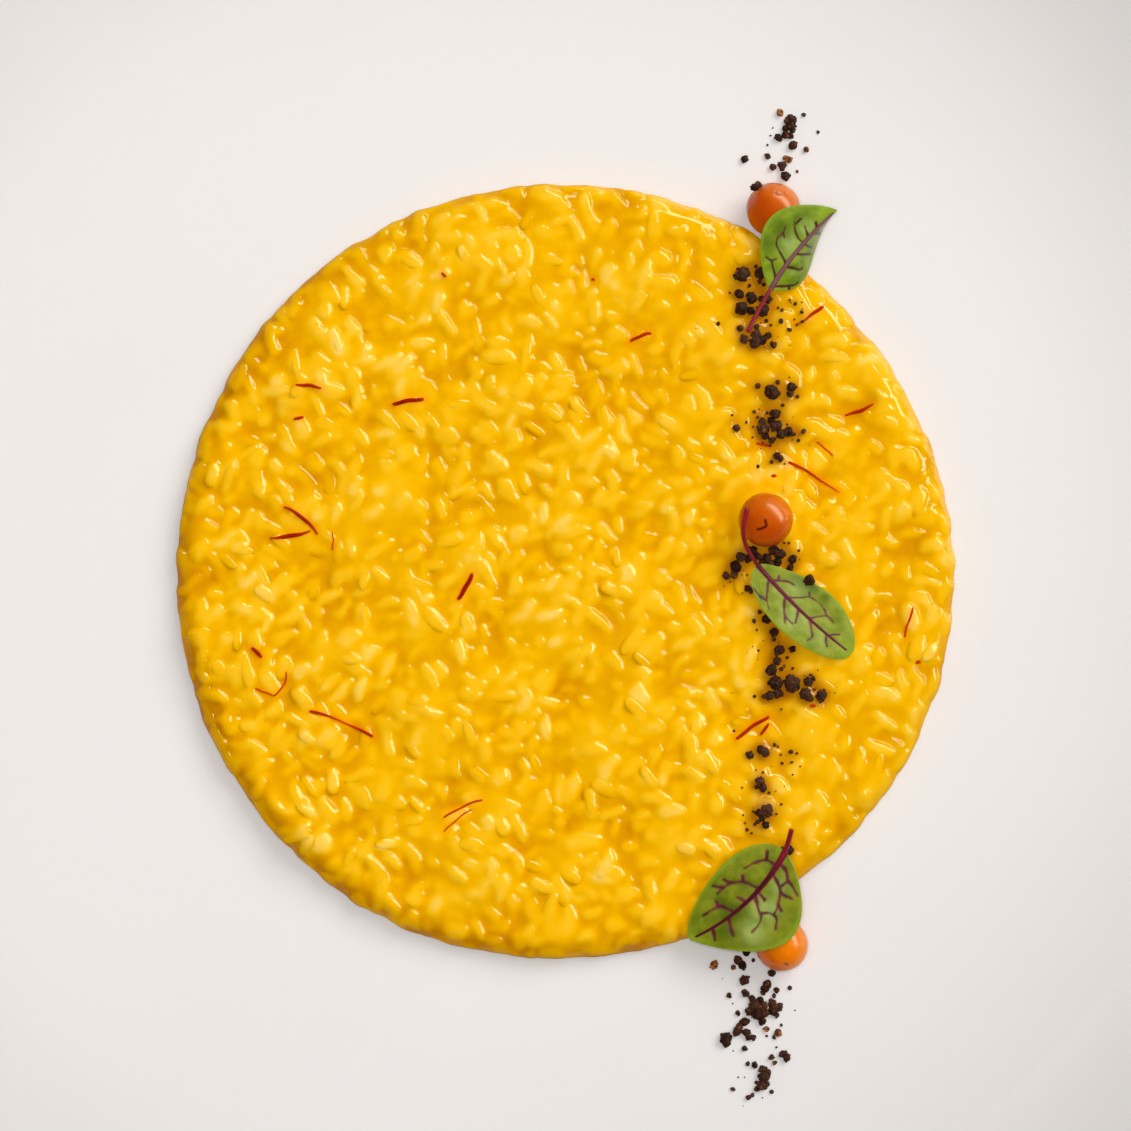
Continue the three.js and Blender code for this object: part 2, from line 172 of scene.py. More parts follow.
def tubeAlong(path, radii, sides):
    # closed tube: rings square to the path, and a point at each end
    path = np.asarray(path, float)
    radii = np.broadcast_to(radii, len(path))
    tangents = np.gradient(path, axis=0)
    tangents /= np.linalg.norm(tangents, axis=1)[:, None]
    across = np.cross(tangents, [0.0, 0.0, 1.0])
    across /= np.linalg.norm(across, axis=1)[:, None] + 1e-9
    upward = np.cross(across, tangents)
    points = []
    for centre, radius, a, b in zip(path, radii, across, upward):
        for k in range(sides):
            angle = 2 * math.pi * k / sides
            points.append(centre + radius * (math.cos(angle) * a + math.sin(angle) * b))
    faces = bandFaces(len(path) - 1, sides)
    first, last = len(points), len(points) + 1
    points.append(path[0] - tangents[0] * radii[0] * 0.6)
    points.append(path[-1] + tangents[-1] * radii[-1] * 0.6)
    lastRing = (len(path) - 1) * sides
    for k in range(sides):
        faces.append((first, k, (k + 1) % sides))
        faces.append((last, lastRing + (k + 1) % sides, lastRing + k))
    return points, faces


def joinParts(parts):
    points, faces = [], []
    for somePoints, someFaces in parts:
        start = len(points)
        points.extend(somePoints)
        faces.extend(tuple(start + i for i in face) for face in someFaces)
    return points, faces


def growPiece(name, points, values, tree, inputs):
    # runs a node tree over loose points and keeps the result as a plain mesh
    mesh = bpy.data.meshes.new(name + "Points")
    mesh.from_pydata((np.asarray(points) * mm).tolist(), [], [])
    storeValues(mesh, values)
    carrier = bpy.data.objects.new(name + "Points", mesh)
    bpy.context.scene.collection.objects.link(carrier)
    modifier = carrier.modifiers.new("grow", "NODES")
    modifier.node_group = tree
    for item in tree.interface.items_tree:
        if item.item_type == "SOCKET" and item.in_out == "INPUT" and item.name in inputs:
            modifier[item.identifier] = inputs[item.name]
    graph = bpy.context.evaluated_depsgraph_get()
    grown = bpy.data.meshes.new_from_object(carrier.evaluated_get(graph))
    bpy.data.objects.remove(carrier)
    grown.name = name
    piece = bpy.data.objects.new(name, grown)
    bpy.context.scene.collection.objects.link(piece)
    return piece


def newTree(name, inputs):
    tree = bpy.data.node_groups.new(name, "GeometryNodeTree")
    tree.interface.new_socket("Geometry", in_out="INPUT", socket_type="NodeSocketGeometry")
    for label, kind in inputs:
        tree.interface.new_socket(label, in_out="INPUT", socket_type=kind)
    tree.interface.new_socket("Geometry", in_out="OUTPUT", socket_type="NodeSocketGeometry")
    return tree, addNode(tree, "NodeGroupInput"), addNode(tree, "NodeGroupOutput")


def finishPiece(piece, slot, *nodes):
    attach(piece, "root")
    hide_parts(*nodes)
    print(f"{piece.name}: {len(piece.data.loops) - 2 * len(piece.data.polygons)} triangles")


# a shallow coupe plate: its wall, the flat middle and the foot ring under it
plate = {
    "radius": 165, "height": 18, "wall": 4.2, "wellRadius": 100, "wellHeight": 8.5,
    "underside": 3.5, "footInner": 90, "footOuter": 96, "footTaper": 2.5, "footRound": 0.8,
    "flatRings": (60, 80), "sides": 240, "wallSteps": 26, "lipSteps": 9,
    "glaze": ("#eeebea", "#ebe7e5"), "bareClay": "#d9d2c8",
}


def plateTop(radius):
    # height of the glaze over the table at a distance from the axis
    half = plate["wall"] / 2
    t = np.clip((radius - plate["wellRadius"]) / (plate["radius"] - half - plate["wellRadius"]), 0, 1)
    return plate["wellHeight"] + (plate["height"] - plate["wellHeight"]) * t ** 2


def porcelainGlaze():
    # porcelain, glazed and fired: a smooth warm white with a soft gloss, and a bare ground foot
    material, tree, shader, place = newMaterial("glazedPorcelain")
    height = addNode(tree, "ShaderNodeSeparateXYZ", {0: place}).outputs["Z"]
    foot = addNode(tree, "ShaderNodeMapRange", {
        "Value": height, "From Min": 0.3 * mm, "From Max": 0.7 * mm, "To Min": 1.0,
        "To Max": 0.0}).outputs[0]
    tone = mottled(tree, place, 60, plate["glaze"])
    colour = addNode(tree, "ShaderNodeMix", {
        0: foot, 6: tone, 7: linear(plate["bareClay"])}, data_type="RGBA")
    polish = addNode(tree, "ShaderNodeMapRange", {"Value": foot, "To Min": 0.16, "To Max": 0.75})
    bump = fineRelief(tree, place, 14, 2.0, 0.12, 0.25)
    plug(tree, shader, {
        "Base Color": colour.outputs[2], "Roughness": polish.outputs[0], "Normal": bump.outputs[0],
        "IOR": 1.5})
    return material


def plateOutline():
    half = plate["wall"] / 2
    lip = plate["radius"] - half
    rise = plate["height"] - plate["wellHeight"]
    rounding = plate["footRound"]

    def middle(t):
        return np.array([plate["wellRadius"] + (lip - plate["wellRadius"]) * t,
                         plate["wellHeight"] - half + rise * t * t])

    def square(t):
        direction = np.array([-2 * rise * t / (lip - plate["wellRadius"]), 1.0])
        return direction / np.linalg.norm(direction) * half

    below, above = plate["flatRings"]
    outline = [(0, plate["underside"]), (below, plate["underside"]),
               (plate["footInner"] - plate["footTaper"], plate["underside"])]
    for corner, turn in ((plate["footInner"] + rounding, 180), (plate["footOuter"] - rounding, 270)):
        for step in range(5):
            angle = math.radians(turn + 90 * step / 4)
            outline.append((corner + rounding * math.cos(angle), rounding + rounding * math.sin(angle)))
    outline.append((plate["footOuter"] + plate["footTaper"], plate["underside"] - 0.3))
    steps = plate["wallSteps"]
    outline += [tuple(middle(i / steps) - square(i / steps)) for i in range(1, steps + 1)]
    start = math.atan2(*(-square(1))[::-1])
    for i in range(1, plate["lipSteps"] + 1):
        angle = start + math.pi * i / (plate["lipSteps"] + 1)
        outline.append(tuple(middle(1) + half * np.array([math.cos(angle), math.sin(angle)])))
    outline += [tuple(middle(i / steps) + square(i / steps)) for i in range(steps, -1, -1)]
    outline += [(above, plate["wellHeight"]), (0, plate["wellHeight"])]
    return outline


def makePlate():
    outline = plateOutline()
    sides = plate["sides"]
    rings = outline[1:-1]
    points = [(r * math.cos(2 * math.pi * k / sides), r * math.sin(2 * math.pi * k / sides), z)
              for r, z in rings for k in range(sides)]
    faces = [(a, d, c, b) for a, b, c, d in bandFaces(len(rings) - 1, sides)]
    low, high = len(points), len(points) + 1
    points += [(0, 0, outline[0][1]), (0, 0, outline[-1][1])]
    top = (len(rings) - 1) * sides
    for k in range(sides):
        faces.append((low, (k + 1) % sides, k))
        faces.append((high, top + k, top + (k + 1) % sides))
    return meshPiece("porcelainPlate", points, faces, porcelainGlaze())


# the round of rice: an uneven outline, and the ground that its grains are heaped on
risotto = {
    "radius": 78.3, "rise": 7.3, "shoulder": 5.0, "roundness": 0.5,
    "waves": [(1, 0.3, 215), (2, 0.15, -42), (3, 0.4, -43), (4, 0.11, -98), (6, 0.11, 33), (8, 0.07, 127)],
    "scallops": [(23, 0.1, 20), (41, 0.09, 20), (59, 0.06, 75)],
    # broad heaps and hollows: wavelength, direction, phase, height
    "swells": [(37, 20, 34, 0.3), (29, 75, 120, 0.27), (23, 130, 229, 0.26), (19, 165, 69, 0.23),
               (16, 50, 292, 0.2), (13.5, 105, 189, 0.17), (11, 5, 11, 0.12)],
    "rings": 168, "cell": 0.25, "reach": 80.0, "seed": 11,
}
grains = {
    "length": (4.9, 7.6), "width": (2.3, 3.3), "depth": (2.2, 2.8), "blunt": 1.3, "pitch": 42,
    # a layer: how many, how deep below the ground, least distance between two backs
    "layers": {"lower": (1300, (1.3, 2.4), 1.6), "upper": (1250, (0.6, 1.5), 1.85)},
    "tries": 60000, "inset": -0.5, "backStep": 1.9, "endReach": 3.4, "bin": 8,
    "warp": 0.75, "warpLength": 5.5, "pale": 1.9, "berryGap": 1.2, "bed": 1.6, "lift": 1.35,
    # those that stand out of the film: height over it, share at the left and the right, steepest pitch
    "proud": 0.25, "proudShare": (0.68, 0.28), "proudInset": 3.0, "proudPitch": 0.35,
    "around": 14, "along": 10,
}
sauce = {
    # the film hugs the grains with a thin wet skin and floods the hollows between them
    "soften": 0.16, "cover": 0.02, "flood": -0.6, "floodWave": 0.32, "floodBlend": 0.09,
    "grainySide": (-62, -35), "grainyFlood": -0.3, "glossySide": (28, 50), "glossyFlood": 0.1,
    "glossyCover": 0.05, "leafClearance": 0.25, "clearDepth": 0.45, "bodySpread": 0.7,
    # painted shade, lighter on the grains' backs and the broad heaps and darker in the hollows: blur, wider
    # blur, height, amount
    "backs": (0.33, 1.8, 0.17, 0.13), "heaps": (1.8, 5.0, 0.3, 0.06), "milk": 0.3, "milkBlur": 0.55,
    # stain: saffron bled into the sauce; the last colour is brown juice and painted shadow round the crumbs
    "drift": 0.05, "tone": 0.44, "stain": "#ee8200", "soilAndShadow": "#a85e08",
    # painted light and shade round the rim: gain, loss, direction of the lit side, how far in it begins and
    # ends
    "paintedRimLight": (0.18, 0.09, 30), "rimBand": (1.5, 7.0),
    # share of the relief that the body and its wet skin keep
    "flatten": 0.5, "wetFlatten": 0.85, "wetBlur": 0.05, "wetWave": 0.3, "glossyRelief": 0.2,
    "steepest": 0.9, "bulge": 0.24, "seat": 0.08,
    # body colour from the deep hollows to the palest grain: place on the scale, colour
    "tones": [(0.0, "#cc8400"), (0.18, "#e09a00"), (0.5, "#f4b500"), (0.75, "#fbc11c"), (1.0, "#fdd260")],
}

axis = np.arange(-risotto["reach"], risotto["reach"] + risotto["cell"] / 2, risotto["cell"])
planX, planY = np.meshgrid(axis, axis)


def outlineRadius(angle):
    radius = np.full_like(np.asarray(angle, float), risotto["radius"])
    for lobes, depth, direction in risotto["waves"] + risotto["scallops"]:
        radius = radius + depth * np.cos(lobes * angle - math.radians(direction))
    return radius


def swellHeight(x, y):
    height = 0
    for wavelength, direction, phase, depth in risotto["swells"]:
        along = x * math.cos(math.radians(direction)) + y * math.sin(math.radians(direction))
        height = height + depth * np.sin(2 * math.pi * along / wavelength + math.radians(phase))
    return height


def insetOf(x, y):
    return outlineRadius(np.arctan2(y, x)) - np.hypot(x, y)


def groundHeight(x, y):
    t = np.clip(insetOf(x, y) / risotto["shoulder"], 0, 1)
    arch = (1 - (1 - t) ** 2) ** risotto["roundness"]
    return plate["wellHeight"] + arch * (risotto["rise"] + swellHeight(x, y))


def sampleGrid(grid, x, y):
    # height of a grid between its points, for arrays of places or for one place
    column = np.clip((np.asarray(x) + risotto["reach"]) / risotto["cell"], 0, len(axis) - 1.001)
    row = np.clip((np.asarray(y) + risotto["reach"]) / risotto["cell"], 0, len(axis) - 1.001)
    c, r = column.astype(int), row.astype(int)
    tc, tr = column - c, row - r
    low = grid[r, c] * (1 - tc) + grid[r, c + 1] * tc
    high = grid[r + 1, c] * (1 - tc) + grid[r + 1, c + 1] * tc
    return low * (1 - tr) + high * tr


def softened(grid, spread):
    # Gaussian blur of the plan, spread in millimetres
    frequency = np.fft.fftfreq(len(axis), risotto["cell"])
    fx, fy = np.meshgrid(frequency, frequency)
    keep = np.exp(-2 * (math.pi * spread) ** 2 * (fx ** 2 + fy ** 2))
    return np.fft.ifft2(np.fft.fft2(grid) * keep).real


def driftField(seed, wavelength):
    # a smooth random field between about -1 and 1
    draw = np.random.default_rng(seed)
    field = softened(draw.normal(size=planX.shape), wavelength / 4)
    return np.clip(field / (2 * field.std()), -1, 1)


warpX = grains["warp"] * driftField(31, grains["warpLength"])
warpY = grains["warp"] * driftField(32, grains["warpLength"])


def throwGrains(draw, count, sink, spacing):
    # places, turns and depths of one layer of grains; spacing keeps the backs of two grains apart
    kept, nearby = [], {}
    for _ in range(grains["tries"]):
        if len(kept) == count:
            break
        radius = risotto["radius"] * math.sqrt(draw.random())
        angle, turn = draw.uniform(0, 2 * math.pi), draw.uniform(0, math.pi)
        x, y = radius * math.cos(angle), radius * math.sin(angle)
        back, end = [[(x + side * step * math.cos(turn), y + side * step * math.sin(turn))
                      for side in (-1, 0, 1)] for step in (grains["backStep"], grains["endReach"])]
        home = (int(x // grains["bin"]), int(y // grains["bin"]))
        close = [q for i in (-1, 0, 1) for j in (-1, 0, 1)
                 for q in nearby.get((home[0] + i, home[1] + j), [])]
        if any(math.dist(p, q) < spacing for p in back for q in close):
            continue
        if min(insetOf(*np.array([end[0], end[2]]).T)) < grains["inset"]:
            continue
        nearby.setdefault(home, []).extend(back)
        kept.append((x, y, turn, draw.uniform(*sink)))
    return kept


def grainFrame(x, y, turn, pitch):
    # the grain lies along the ground's slope, with one end a little up
    step = 0.5
    slope = [(groundHeight(x + step, y) - groundHeight(x - step, y)) / (2 * step),
             (groundHeight(x, y + step) - groundHeight(x, y - step)) / (2 * step)]
    normal = Vector((-float(slope[0]), -float(slope[1]), 1)).normalized()
    along = Vector((math.cos(turn), math.sin(turn), 0))
    along = (along - normal * along.dot(normal)).normalized()
    along = (along + normal * math.tan(pitch)).normalized()
    side = normal.cross(along).normalized()
    up = along.cross(side)
    return Matrix((along, side, up)).transposed()


def stampGrain(heap, owner, index, centre, turned, size):
    # raises the heap to the top of one grain, an ellipsoid with blunt ends
    reach = int(max(size) / risotto["cell"]) + 2
    column = int(round((centre[0] + risotto["reach"]) / risotto["cell"]))
    row = int(round((centre[1] + risotto["reach"]) / risotto["cell"]))
    rows = slice(max(row - reach, 0), row + reach + 1)
    columns = slice(max(column - reach, 0), column + reach + 1)
    dx = planX[rows, columns] + warpX[rows, columns] - centre[0]
    dy = planY[rows, columns] + warpY[rows, columns] - centre[1]
    axes = np.array(turned)
    form = axes @ np.diag([1 / s ** 2 for s in size]) @ axes.T
    heading = axes[:2, 0] / np.linalg.norm(axes[:2, 0])
    along, across = dx * heading[0] + dy * heading[1], dy * heading[0] - dx * heading[1]
    along = size[0] * np.sign(along) * np.abs(along / size[0]) ** grains["blunt"]
    dx, dy = along * heading[0] - across * heading[1], along * heading[1] + across * heading[0]
    half = form[0, 2] * dx + form[1, 2] * dy
    rest = form[0, 0] * dx ** 2 + 2 * form[0, 1] * dx * dy + form[1, 1] * dy ** 2 - 1
    inside = half ** 2 - form[2, 2] * rest
    top = centre[2] + (-half + np.sqrt(np.maximum(inside, 0))) / form[2, 2]
    higher = (inside > 0) & (top > heap[rows, columns])
    heap[rows, columns][higher] = top[higher]
    owner[rows, columns][higher] = index


def heapGrains(leafUnder):
    # the ground, the tops of the grains heaped on it, the grain on top at each place, and all grains
    draw = np.random.default_rng(risotto["seed"])
    ground = groundHeight(planX, planY)
    heap = ground - grains["bed"]
    owner = np.full(heap.shape, -1)
    berry = berries["berryMiddle"]
    placed = []
    for layer, thrown in grains["layers"].items():
        for x, y, turn, depth in throwGrains(draw, *thrown):
            size = [draw.uniform(*grains[key]) / 2 for key in ("length", "width", "depth")]
            pitch = math.radians(draw.uniform(-1, 1) * grains["pitch"])
            paleness = draw.random() ** grains["pale"]
            left, right = grains["proudShare"]
            share = left + (right - left) * smoothStep(-60, 0, x)
            proud = layer == "upper" and abs(pitch) < grains["proudPitch"] and draw.random() < share
            proud = proud and insetOf(x, y) > grains["proudInset"]
            if math.dist((x, y), berry["at"]) < berry["radius"] + grains["berryGap"]:
                continue
            standing = math.hypot(size[0] * math.sin(pitch), size[2] * math.cos(pitch))
            height = float(groundHeight(x, y)) - depth + size[2] * grains["lift"] - standing
            ceiling = float(sampleGrid(leafUnder, x, y))
            height = min(height, ceiling - size[2] - sauce["leafClearance"])
            turned = grainFrame(x, y, turn, pitch)
            stampGrain(heap, owner, len(placed), (x, y, height), turned, size)
            placed.append({"centre": (x, y, height), "turned": turned, "size": size, "pale": paleness,
                           "proud": proud})
    return ground, heap, owner, placed


# where each berry lies, how deep it sits in the rice, and the crease in its skin
berries = {
    "berryTop": {"at": (41.8, 72.7), "radius": 5.4, "sink": 0, "squash": 0.96,
                 "mark": [(0.2, 3.2), (0.7, 2.8), (1.3, 2.9)], "markDepth": 0.5, "ripenessAndShade": 0.5},
    "berryMiddle": {"at": (40.0, 10.4), "radius": 5.4, "sink": 1.5, "squash": 0.97,
                    "mark": [(-1.8, -2.0), (-1.1, -1.8), (-0.2, -1.3), (-0.4, -0.2)], "markDepth": 1.0,
                    "ripenessAndShade": 0.5},
    "berryBottom": {"at": (43.4, -74.8), "radius": 5.3, "sink": 0, "squash": 0.97,
                    "mark": [(0.6, -3.4), (1.0, -3.7)], "markDepth": 0.6, "ripenessAndShade": 0.12},
}
berryForm = {"lumps": 0.022, "creaseWidth": 0.26, "creaseDepth": 0.22,
             "flesh": [(0.3, "#ee8400"), (1.25 / 1.5, "#c04e00")], "crease": "#54100a"}


def berryCentre(berry):
    support = plate["wellHeight"] + (risotto["rise"] if berry["sink"] else 0.3)
    return np.array([*berry["at"], support - berry["sink"] + berry["radius"] * berry["squash"]])


def berrySkin():
    # a small orange berry: thin waxy skin over wet flesh, so light runs through it and it shines
    material, tree, shader, place = newMaterial("waxyBerrySkin")
    mark, ripenessAndShade = [addNode(tree, "ShaderNodeAttribute", attribute_name=key).outputs["Fac"]
                  for key in ("mark", "ripenessAndShade")]
    blush = addNode(tree, "ShaderNodeTexNoise", {"Vector": place, "Scale": 1 / (5 * mm), "Detail": 3.0})
    # the deeper colour holds each berry's ripeness and painted shade toward its lower left
    depth = addNode(tree, "ShaderNodeMath", {
        0: blush.outputs["Fac"], 1: 0.5, 2: ripenessAndShade}, operation="MULTIPLY_ADD")
    ramp = addNode(tree, "ShaderNodeValToRGB", {"Fac": depth.outputs[0]})
    setStops(ramp.color_ramp, berryForm["flesh"])
    colour = addNode(tree, "ShaderNodeMix", {
        0: mark, 6: ramp.outputs[0], 7: linear(berryForm["crease"])}, data_type="RGBA")
    bump = fineRelief(tree, place, 0.9, 4.0, 0.25, 0.06)
    plug(tree, shader, {
        "Base Color": colour.outputs[2], "Normal": bump.outputs[0], "Roughness": 0.27, "IOR": 1.5,
        "Subsurface Weight": 0.7, "Subsurface Radius": (1.0, 0.4, 0.1), "Subsurface Scale": 1.6 * mm})
    return material


def makeBerry(name, material):
    berry = berries[name]
    centre = berryCentre(berry)
    mesh = bpy.data.meshes.new(name)
    build = bmesh.new()
    bmesh.ops.create_icosphere(build, subdivisions=6, radius=1.0)
    build.to_mesh(mesh)
    build.free()
    sphere = pointsOf(mesh) * mm
    faces = [tuple(face.vertices) for face in mesh.polygons]
    bpy.data.meshes.remove(mesh)
    lumps = np.array([noise.noise(Vector(p) * 1.3 + Vector(centre)) for p in sphere])
    # a dry crease on its upper face
    crease = distanceToPath(sphere[:, :2] * berry["radius"], throughPoints(berry["mark"], 0.1))
    mark = np.exp(-(crease / berryForm["creaseWidth"]) ** 2) * (sphere[:, 2] > 0) * berry["markDepth"]
    radius = berry["radius"] * (1 + berryForm["lumps"] * lumps) - berryForm["creaseDepth"] * mark
    points = sphere * radius[:, None] * [1, 0.97 + 0.03 * berry["squash"], berry["squash"]] + centre
    # painted shade: darker and deeper toward the lower left, away from the light
    low = -(sphere[:, 0] + sphere[:, 1]) / 1.4 * 0.28
    return meshPiece(name, points, faces, material, {"mark": np.clip(mark * 1.2, 0, 1),
                                                     "ripenessAndShade": np.clip(berry["ripenessAndShade"] + low, 0, 1.2)})


# each leaf runs from its base to its tip; widths and lifts belong to the two sides of its rib, and
# a vein's points are shares of the length and distances left of the chord
leaves = {
    "leafTop": {
        "base": (41.0, 56.4, 18.1), "tip": (54.1, 72.1, 19.3), "arch": 0.6, "bow": 0.9,
        "left": {"width": 8.3, "skew": 1.03, "fullness": 0.72, "lift": 1.1, "liftSkew": 0.9},
        "right": {"width": 4.5, "skew": 0.55, "fullness": 1.7, "lift": -5.6, "liftSkew": 1.3},
        "stem": [(36.5, 48.0, 18.3), (38.6, 52.2, 17.9)],
        "green": ("#667e0c", "#8ca422"), "rib": (0.54, 0.2), "ribTint": "#86565c", "veinHalf": 0.26,
        "wine": ("#34080c", "#5a1e26"),
        # pale painted highlights where the blade faces the window, and darker olive places, partly painted
        # shade:
        # distance left of the chord, reach, amount, share of the length
        "paintedSheens": [(2.4, 2.2, 0.6, 0.45), (2.0, 2.0, 0.5, 0.68)],
        "shades": [(5.6, 2.2, 0.8, 0.5), (6.2, 1.8, 0.7, 0.32), (-2.4, 2.0, 0.35, 0.25),
                   (4.6, 1.3, 0.5, 0.68)],
        "veins": [
            [(0.1, 0.5), (0.14, 1.3), (0.22, 3.6)], [(0.21, 4.7), (0.22, 3.6), (0.26, 3.0)],
            [(0.28, 0.5), (0.32, 2.6), (0.36, 4.6), (0.42, 5.5), (0.5, 5.3), (0.56, 5.8)],
            [(0.5, 5.3), (0.47, 4.5)], [(0.54, 0.7), (0.56, 2.7), (0.6, 4.0), (0.65, 5.0)],
            [(0.64, 4.6), (0.72, 4.3)], [(0.62, 0.7), (0.68, 2.9)], [(0.74, 0.5), (0.78, 1.6)],
            [(0.04, 0.0), (0.13, -2.0), (0.19, -3.0), (0.23, -3.2)], [(0.14, -2.2), (0.12, -2.8)],
            [(0.26, 0.5), (0.3, -0.7), (0.33, -1.8), (0.36, -2.0)], [(0.54, 0.7), (0.58, -0.8)],
            [(0.43, 0.6), (0.47, -0.5), (0.52, -1.3)], [(0.69, 0.5), (0.72, 0.0), (0.76, -0.8)],
        ],
    },
    "leafMiddle": {
        "base": (38.4, 1.4, 18.4), "tip": (57.1, -16.3, 17.9), "arch": 0.9, "bow": -0.75,
        "left": {"width": 6.4, "skew": 1.25, "fullness": 0.57, "lift": 0.5, "liftSkew": 1},
        "right": {"width": 5.5, "skew": 0.85, "fullness": 0.4, "lift": 0.7, "liftSkew": 1},
        "stem": [(36.0, 12.6, 24.4), (35.3, 8.2, 23.7), (36.2, 4.8, 21.2)],
        "green": ("#7a8a1e", "#9ca63a"), "rib": (0.56, 0.2), "ribTint": "#641a2a", "veinHalf": 0.26,
        "wine": ("#541a2c", "#844452"),
        "paintedSheens": [(1.8, 2.4, 0.55, 0.35), (-2.4, 2.4, 0.55, 0.5), (-1.8, 2.0, 0.4, 0.74)],
        "shades": [(3.9, 1.6, 0.8, 0.3), (4.6, 1.6, 0.85, 0.42), (4.6, 1.2, 0.6, 0.55),
                   (-4.4, 1.0, 0.3, 0.2)],
        "veins": [
            [(0.15, -0.5), (0.2, 0.6), (0.26, 1.8), (0.31, 2.1)], [(0.2, 0.6), (0.18, 1.3)],
            [(0.33, -0.8), (0.41, 1.0), (0.46, 2.4), (0.54, 2.9), (0.62, 2.7)], [(0.46, 2.4), (0.44, 3.1)],
            [(0.57, -0.8), (0.62, 1.0), (0.66, 2.1), (0.73, 2.1)], [(0.66, 2.1), (0.61, 2.7)],
            [(0.77, -0.6), (0.8, 0.4), (0.83, 1.2)],
            [(0.15, -1.0), (0.2, -2.7), (0.24, -3.9), (0.3, -4.9)], [(0.43, -3.8), (0.46, -4.8)],
            [(0.33, -1.1), (0.37, -2.4), (0.43, -3.7), (0.51, -3.8)],
            [(0.24, -4.0), (0.17, -4.2), (0.1, -3.9)],
            [(0.47, -1.1), (0.52, -3.2)], [(0.59, -0.9), (0.65, -2.1), (0.69, -3.0), (0.68, -4.1)],
            [(0.76, -0.8), (0.79, -1.7), (0.82, -2.2)],
        ],
    },
    "leafBottom": {
        "base": (43.9, -55.8, 18.7), "tip": (25.1, -73.5, 15.7), "arch": 1.0, "bow": 2.1,
        "left": {"width": 11.1, "skew": 0.8, "fullness": 0.8, "lift": 2.7, "liftSkew": 0.9},
        "right": {"width": 8.7, "skew": 0.82, "fullness": 0.63, "lift": 0.3, "liftSkew": 1},
        "stem": [(45.1, -51.3, 20.4), (44.5, -53.8, 19.4)],
        "green": ("#667406", "#8a9016"), "rib": (0.7, 0.24), "ribTint": "#500c1c", "veinHalf": 0.38,
        "wine": ("#420818", "#74203a"),
        "paintedSheens": [(5.6, 2.6, 0.75, 0.42), (7.4, 2.4, 0.7, 0.6), (4.2, 1.8, 0.5, 0.22)],
        "shades": [(1.6, 2.6, 0.9, 0.62), (3.4, 2.2, 0.8, 0.75), (-1.2, 1.8, 0.65, 0.62),
                   (0.8, 1.6, 0.75, 0.15), (-1.0, 1.6, 0.6, 0.4)],
        "veins": [
            [(0.11, 1.2), (0.13, 0.2), (0.15, -1.4), (0.22, -2.5), (0.32, -3.2)],
            [(0.34, 1.9), (0.36, 0.6), (0.39, -1.3), (0.48, -2.9), (0.6, -3.1)],
            [(0.61, 1.9), (0.63, 0.2), (0.66, -1.1), (0.8, -1.8)], [(0.66, -1.1), (0.65, -2.0)],
            [(0.14, -1.5), (0.1, -2.4)], [(0.39, -1.5), (0.37, -2.3)], [(0.48, 2.1), (0.51, 0.1)],
            [(0.47, -2.9), (0.49, -4.4)], [(0.54, -3.3), (0.58, -4.8)],
            [(0.09, 1.4), (0.1, 3.2), (0.14, 4.6), (0.14, 6.0), (0.16, 7.9)], [(0.14, 4.7), (0.2, 4.4)],
            [(0.19, 1.8), (0.21, 3.8), (0.25, 5.4), (0.34, 7.0), (0.4, 7.4)], [(0.24, 5.5), (0.21, 7.8)],
            [(0.32, 6.8), (0.33, 8.0)], [(0.4, 2.2), (0.45, 4.4), (0.48, 6.2), (0.54, 7.0), (0.61, 7.1)],
            [(0.45, 5.8), (0.41, 6.8), (0.4, 8.4), (0.46, 9.8)], [(0.36, 2.2), (0.37, 4.2)],
            [(0.67, 2.2), (0.71, 3.8), (0.74, 5.2)], [(0.82, 1.7), (0.86, 3.4)],
        ],
    },
}
blade = {"thickness": 0.4, "steps": 144, "columns": 104, "pucker": 0.45, "puckerReach": 1.2, "ruffle": 0.22,
         "stemRadius": 0.5, "stemSides": 10,
         # the darker olive is partly painted shade; the pale green is a painted highlight
         "shade": "#465a00", "paintedSheen": "#a8bc68", "rim": "#8ca822", "stalk": "#8e1224"}


def edgeShape(u, skew, fullness):
    return np.maximum(0, np.sin(math.pi * u ** skew)) ** fullness


def perSide(leaf, s, form):
    # a measure that differs on the two sides of the rib
    return np.where(s < 0, form(leaf["right"]), form(leaf["left"]))


def bladeSideways(leaf, u, s):
    width = perSide(leaf, s, lambda side: side["width"] * edgeShape(u, side["skew"], side["fullness"]))
    return s * width + leaf["bow"] * 4 * u * (1 - u)


def bladePoints(leaf, u, s):
    base, tip = np.array(leaf["base"]), np.array(leaf["tip"])
    run = (tip - base)[:2] / np.linalg.norm((tip - base)[:2])
    sideways = bladeSideways(leaf, u, s)
    lift = perSide(leaf, s, lambda side: side["lift"] * edgeShape(u, side["liftSkew"], 1))
    ruffle = blade["ruffle"] * s * s * np.sin(9.5 * u + 3 * s) * edgeShape(u, 1, 0.5)
    points = base + (tip - base) * u[..., None]
    points[..., 0] -= run[1] * sideways
    points[..., 1] += run[0] * sideways
    points[..., 2] += leaf["arch"] * 4 * u * (1 - u) + lift * np.abs(s) ** 1.4 + ruffle
    return points


def bladeGrid():
    u = 0.5 - 0.4985 * np.cos(math.pi * np.linspace(0, 1, blade["steps"] + 1))
    s = np.linspace(-1, 1, blade["columns"] + 1)
    return np.meshgrid(u, s, indexing="ij")


